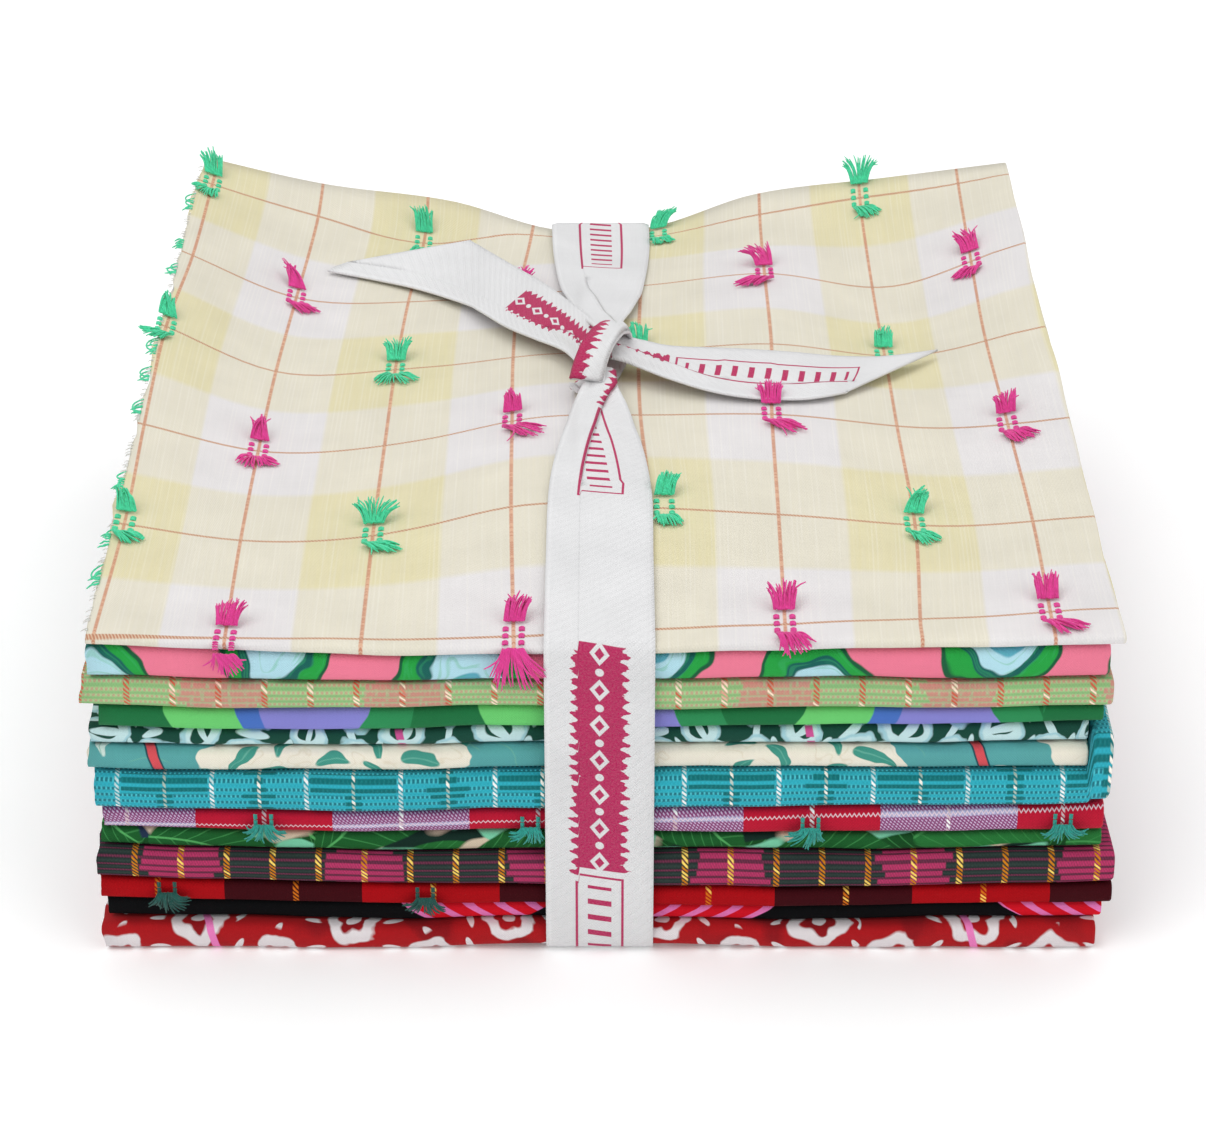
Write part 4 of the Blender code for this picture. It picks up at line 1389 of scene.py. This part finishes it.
def swell_side(places, marks, level):
    """Lifts the right-hand fold of a cloth beside the shorter ones above it."""
    past = smooth_step(SWELL_FROM, SWELL_FULL, places[..., 0])
    front = 1 - smooth_step(SWELL_DEEP, SWELL_END, places[..., 1] - FRONT)
    places = places.copy()
    places[..., 2] += SWELL * past * front * np.clip(level, 0.0, 1.0)
    return places, marks


print("furthest line shift:", LINE_SHIFT.max(), "mm, furthest row shift:", ROW_SHIFT.max(), "mm")

# %% Lay the cloths
SHAPED = {
    "cloth_07_turquoise_brick": {"across": SWELL_ACROSS, "reshape": swell_side},
    "cloth_01_cream_check": {"layers": 2, "stops": FINE_STOPS, "across": FINE_ACROSS, "reshape": skew_check},
}
for name in NAMES:
    add_cloth(name, looks[name], **SHAPED.get(name, {}))

# %% Tie the tape
# The number says where on the print's repeat a stretch starts, in millimetres.
top_cloth = folded(NAMES[-1])
add_tape("tied_band", band, 44.7, "tape_band")
add_tape("knot_wrap", wrapped, 20.0, "tape_knot", aside=15.0)
add_tape("left_tail", left_tail, 51.0, "tape_tail_left", way=-0.85)
add_tape("right_tail", right_tail, 45.0, "tape_tail_right")

# %% [markdown]
# ## Clipped tufts
#
# Where its lines cross, the top cloth carries small tufts: a few bright weft
# threads float over the copper line, are woven in for the length of a
# fingernail, and are clipped, so that both ends burst open. Each tuft is a bundle
# of curves with a round bevel: short floats for the woven part, and a fan of bent
# threads at each end. The fans' lean, spread and length differ from tuft to tuft.

# %% Bundle threads into one curve object
THREAD = 0.23 * MM
TIP = 0.55


def add_threads(name, lines, thickness, thread, nodes=()):
    """One curve object of many threads, each a list of points in metres."""
    shape = bpy.data.curves.new(name, "CURVE")
    shape.dimensions = "3D"
    shape.bevel_depth = thickness
    shape.bevel_resolution = 1
    shape.use_fill_caps = True
    shape.resolution_u = 2
    for points in lines:
        spline = shape.splines.new("NURBS")
        spline.points.add(len(points) - 1)
        for number, place in enumerate(points):
            spline.points[number].co = (*place, 1.0)
            spline.points[number].radius = 1.0 if number < len(points) - 1 else TIP
        spline.use_endpoint_u = True
        spline.order_u = 3
    obj = bpy.data.objects.new(name, shape)
    bpy.context.scene.collection.objects.link(obj)
    shape.materials.append(threads[thread])
    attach(obj, "root")
    if nodes:
        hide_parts(*nodes)


print("a thread is", round(2 * THREAD / MM, 2), "mm thick")

# %% Shape a tuft's fans and floats
STEPS = 4
LOCK = 5
# How much threads differ: turns in degrees for a lock and a thread, then the
# bends of a whole fan, of one thread and of a stray in radians, and the height
# in millimetres to which the fan at the back stands.
LOCK_TURN, THREAD_TURN = 9, 6
SWAY, CURL, STRAY = 0.35, 0.25, 0.5
STAND = 4.2


def fan_lines(luck, way, lean, spread, length, count=34, gap=5.1, root=4.6):
    """Threads that burst from one end of a tuft, as points in its own frame in millimetres.

    The way is 1 towards the back and -1 towards the front. Lean and spread are
    in degrees, and positive ones go to the right; a negative spread draws the
    tips together. All sway one way and lie in locks of five, and every tenth one
    strays. The fan at the back stands up.
    """
    lines, sway = [], luck.uniform(-SWAY, SWAY)
    for number in range(count):
        share = number / (count - 1) - 0.5
        lock = random.Random(f"{lean} {length} {number // LOCK}")
        side = math.copysign(abs(2 * share) ** 0.6, share)
        turned = lock.uniform(-LOCK_TURN, LOCK_TURN) + luck.uniform(-THREAD_TURN, THREAD_TURN)
        angle = math.radians(lean + spread * side + turned)
        reach = length * lock.uniform(0.85, 1.12) * luck.uniform(0.76, 1.0) * (1.12 - 1.3 * share * share)
        curl = sway + lock.uniform(-CURL, CURL) + luck.uniform(-CURL, CURL)
        if number % 10 == 4:
            angle += luck.uniform(-STRAY, STRAY)
            curl += luck.choice((-1, 1)) * luck.uniform(0.7, 2.0)
        arch = luck.uniform(0.6, 1.6)
        rise = STAND * lock.uniform(0.75, 1.1) * luck.uniform(0.75, 1.1) if way > 0 else 0.0
        x, y, points = share * root, way * gap, []
        for step in range(STEPS + 1):
            part = step / STEPS
            bend = angle * min(1.0, 0.5 + 0.8 * part) + curl * part * part
            height = 0.35 + arch * math.sin(math.pi * (0.12 + 0.8 * part)) + rise * part
            points.append((x, y, height + luck.uniform(-0.08, 0.08)))
            x += reach / STEPS * math.sin(bend) - 0.05 * share * root
            y += way * reach / STEPS * math.cos(bend)
        lines.append(points)
    return lines


FLOAT_ROWS = (-0.6, -0.2, 0.2, 0.6)
FLOAT_COLUMNS = (-1.85, 1.85)
# A float from its start: how far in each point lies from the nearer end, and how high.
FLOAT_RISE = ((0, 0.0, 0.0), (0, 0.25, 0.24), (1, -0.25, 0.24), (1, 0.0, 0.0))


def float_lines(blocks=3, pitch=2.9, wide=1.25):
    """The woven middle: two columns of small blocks, each of four short floats."""
    lines = []
    for block, row, middle in itertools.product(range(blocks), FLOAT_ROWS, FLOAT_COLUMNS):
        y = (block - (blocks - 1) / 2) * pitch + row
        lines.append([(middle + (end - 0.5) * wide + inset, y, up) for end, inset, up in FLOAT_RISE])
    return lines


print("floats in a tuft:", len(float_lines()))

# %% Set the tufts on the top cloth
# For each: line, row, then lean, spread and length of the fan at the back, and
# the same of the fan at the front.
TUFTS = (
    (0, 1, -24, -8, 5.5, 62, 34, 5.5), (0, 3, -8, -16, 6.0, -66, 28, 6.0), (0, 5, -14, 26, 7.0, -50, 60, 4.5),
    (1, 0, 26, 26, 5.5, 30, 40, 5.0), (1, 2, 2, -16, 7.0, 10, 78, 5.5), (1, 4, -30, -14, 8.0, 74, 16, 7.0),
    (2, 1, 10, 66, 6.5, 68, 14, 7.5), (2, 3, 2, 36, 7.0, 0, 84, 7.0), (2, 5, -12, 10, 5.5, -20, 30, 4.5),
    (3, 0, 30, 24, 5.5, 4, 44, 11.0), (3, 2, -10, -4, 5.5, 62, 18, 9.0), (3, 4, 20, 22, 6.0, 40, 26, 5.0),
    (4, 1, 30, 18, 5.5, 36, 24, 5.5), (4, 3, 0, 20, 5.0, 0, 20, 5.0), (4, 5, 44, 26, 6.0, 40, 24, 5.0),
    (5, 0, 0, 30, 6.5, 48, 26, 6.5), (5, 2, 0, 26, 5.5, 64, 14, 8.5), (5, 4, -38, 24, 8.0, -72, 20, 8.5),
    (6, 1, 36, -10, 7.0, 46, 30, 6.5), (6, 3, 2, 12, 5.5, 0, 24, 4.0), (6, 5, 6, 54, 7.0, 48, 22, 6.0),
    (7, 0, -8, 22, 6.5, 62, 24, 7.5), (7, 2, -4, 28, 4.5, 52, 30, 7.5), (7, 4, -34, 18, 7.5, -60, 30, 6.0),
)
# Two tufts stand right beside the tape, at these places across.
BESIDE_TAPE = {(4, 1): 14.9, (4, 5): 16.4}
TUFT_STEP = 0.6
HANG_OUT = 1.6 * MM


def crossing(line, row):
    """Where a check line crosses a row on the top layer, in millimetres across and back."""
    across = BESIDE_TAPE.get((line, row), CHECK_LINES[line] + LINE_SHIFT[line, row])
    return across, CHECK_ROWS[row] + ROW_SHIFT[row, line] + TUFT_STEP


def lay_on_cloth(lines, across, back):
    """Moves a tuft's points to their place on the cloth, or hanging over its front."""
    laid = []
    for points in lines:
        x, y, up = (np.array(points) + (across, back, 0.0)).T * MM
        y += FRONT
        over = np.minimum(y - FRONT, 0.0)
        z = top_height(x, np.maximum(y, FRONT)) + up + over
        laid.append(list(zip(x, np.maximum(y, FRONT - HANG_OUT), z)))
    return laid


for number, (line, row, *fans) in enumerate(TUFTS, start=1):
    luck = random.Random(number)
    lines = fan_lines(luck, 1, *fans[:3]) + fan_lines(luck, -1, *fans[3:]) + float_lines()
    thread = "tuft_pink" if line % 2 else "tuft_green"
    laid = lay_on_cloth(lines, *crossing(line, row))
    add_threads(f"tuft_{number:02d}", laid, THREAD, thread, [f"tuft_top_{number:02d}"])
print("tufts on top:", len(TUFTS))

# %% Fray the raw left edge
# Where green threads stick out of the raw edge: distances back from the front.
LOOPS_BACK = (26.0, 44.0, 72.0, 109.0, 127.0, 143.0, 191.0, 209.0, 236.0)
# Seven threads stick out at each place, and the first two of them are loops.
LOOPS, PLACE_THREADS = 2, 7
EDGE = -118.6
EDGE_DEEP = 268
FRAY = 0.11 * MM
FRAY_COUNT = 220


def edge_thread(luck, back, length, loop):
    """A thread that leaves the raw edge at a distance back, and bends down or round."""
    points, tall = [], luck.uniform(0.7, 1.5)
    for step in range(STEPS + 1):
        part = step / STEPS
        bend = math.pi * part if loop else luck.uniform(-0.4, 0.4)
        out = length * math.sin(bend) if loop else length * part
        aside = tall * length * (1 - math.cos(bend)) if loop else length * 0.5 * math.sin(bend)
        points.append((1.2 - out, aside, 0.2 - 0.35 * out if loop else 0.1 - 0.5 * length * part * part))
    return lay_on_cloth([points], EDGE, back)[0]


luck = random.Random(77)
frayed = [
    edge_thread(luck, luck.uniform(1, EDGE_DEEP), luck.uniform(0.5, 1.7), False) for _ in range(FRAY_COUNT)]
add_threads("frayed_edge", frayed, FRAY, "frayed_edge")
loops = [
    edge_thread(luck, back + luck.uniform(-3, 3), luck.uniform(1.2, 3.2), number < LOOPS)
    for back in LOOPS_BACK for number in range(PLACE_THREADS)]
add_threads("edge_loops", loops, THREAD, "tuft_green")
print("threads at the raw edge:", len(frayed) + len(loops))

# %% Set the tufts on the front folds
# Cloth, thread, across, how far over the middle of the fold, and the lean of the brush.
FRONT_TUFTS = (
    ("cloth_08_crimson_check", "tuft_teal", -79.4, 1.6, 0),
    ("cloth_08_crimson_check", "tuft_teal", -17.0, 0.4, -30),
    ("cloth_08_crimson_check", "tuft_teal", 48.6, 0.6, -34),
    ("cloth_08_crimson_check", "tuft_teal", 107.6, 0.8, 8),
    ("cloth_11_red_block", "tuft_dark_green", -103.0, 1.8, 24),
    ("cloth_11_red_block", "tuft_dark_green", -42.0, 2.0, -10),
)
FRONT_THREAD = 0.9 * THREAD
# How far the tuft stands out from the fold, and how much of its depth and length is left.
FRONT_OUT, FLATTENED, SHORTENED = 0.7, 0.8, 0.85
for number, (cloth, thread, across, over, lean) in enumerate(FRONT_TUFTS, start=1):
    luck = random.Random(100 + number)
    hanging = fan_lines(luck, -1, lean, 66, 6.0, 30, 1.5, root=4.2)
    hanging += fan_lines(luck, -1, -lean, 30, 3.2, 10, 1.3, root=3.0)
    index = NAMES.index(cloth)
    middle = float(settled(index, across * MM, FRONT, 0.5)) + over * MM
    reach = FRONT + (CLOTHS[index][3] - FRONT_OUT) * MM
    laid = [
        [((across + x) * MM, reach - FLATTENED * up * MM, middle + SHORTENED * y * MM) for x, y, up in points]
        for points in float_lines(2, 1.9, 0.8) + hanging]
    add_threads(f"front_tuft_{number}", laid, FRONT_THREAD, thread, [f"tuft_front_{number}"])
print("tufts on the front:", len(FRONT_TUFTS))

# %% [markdown]
# ## The end

# %% Update the scene and finish
bpy.context.view_layer.update()
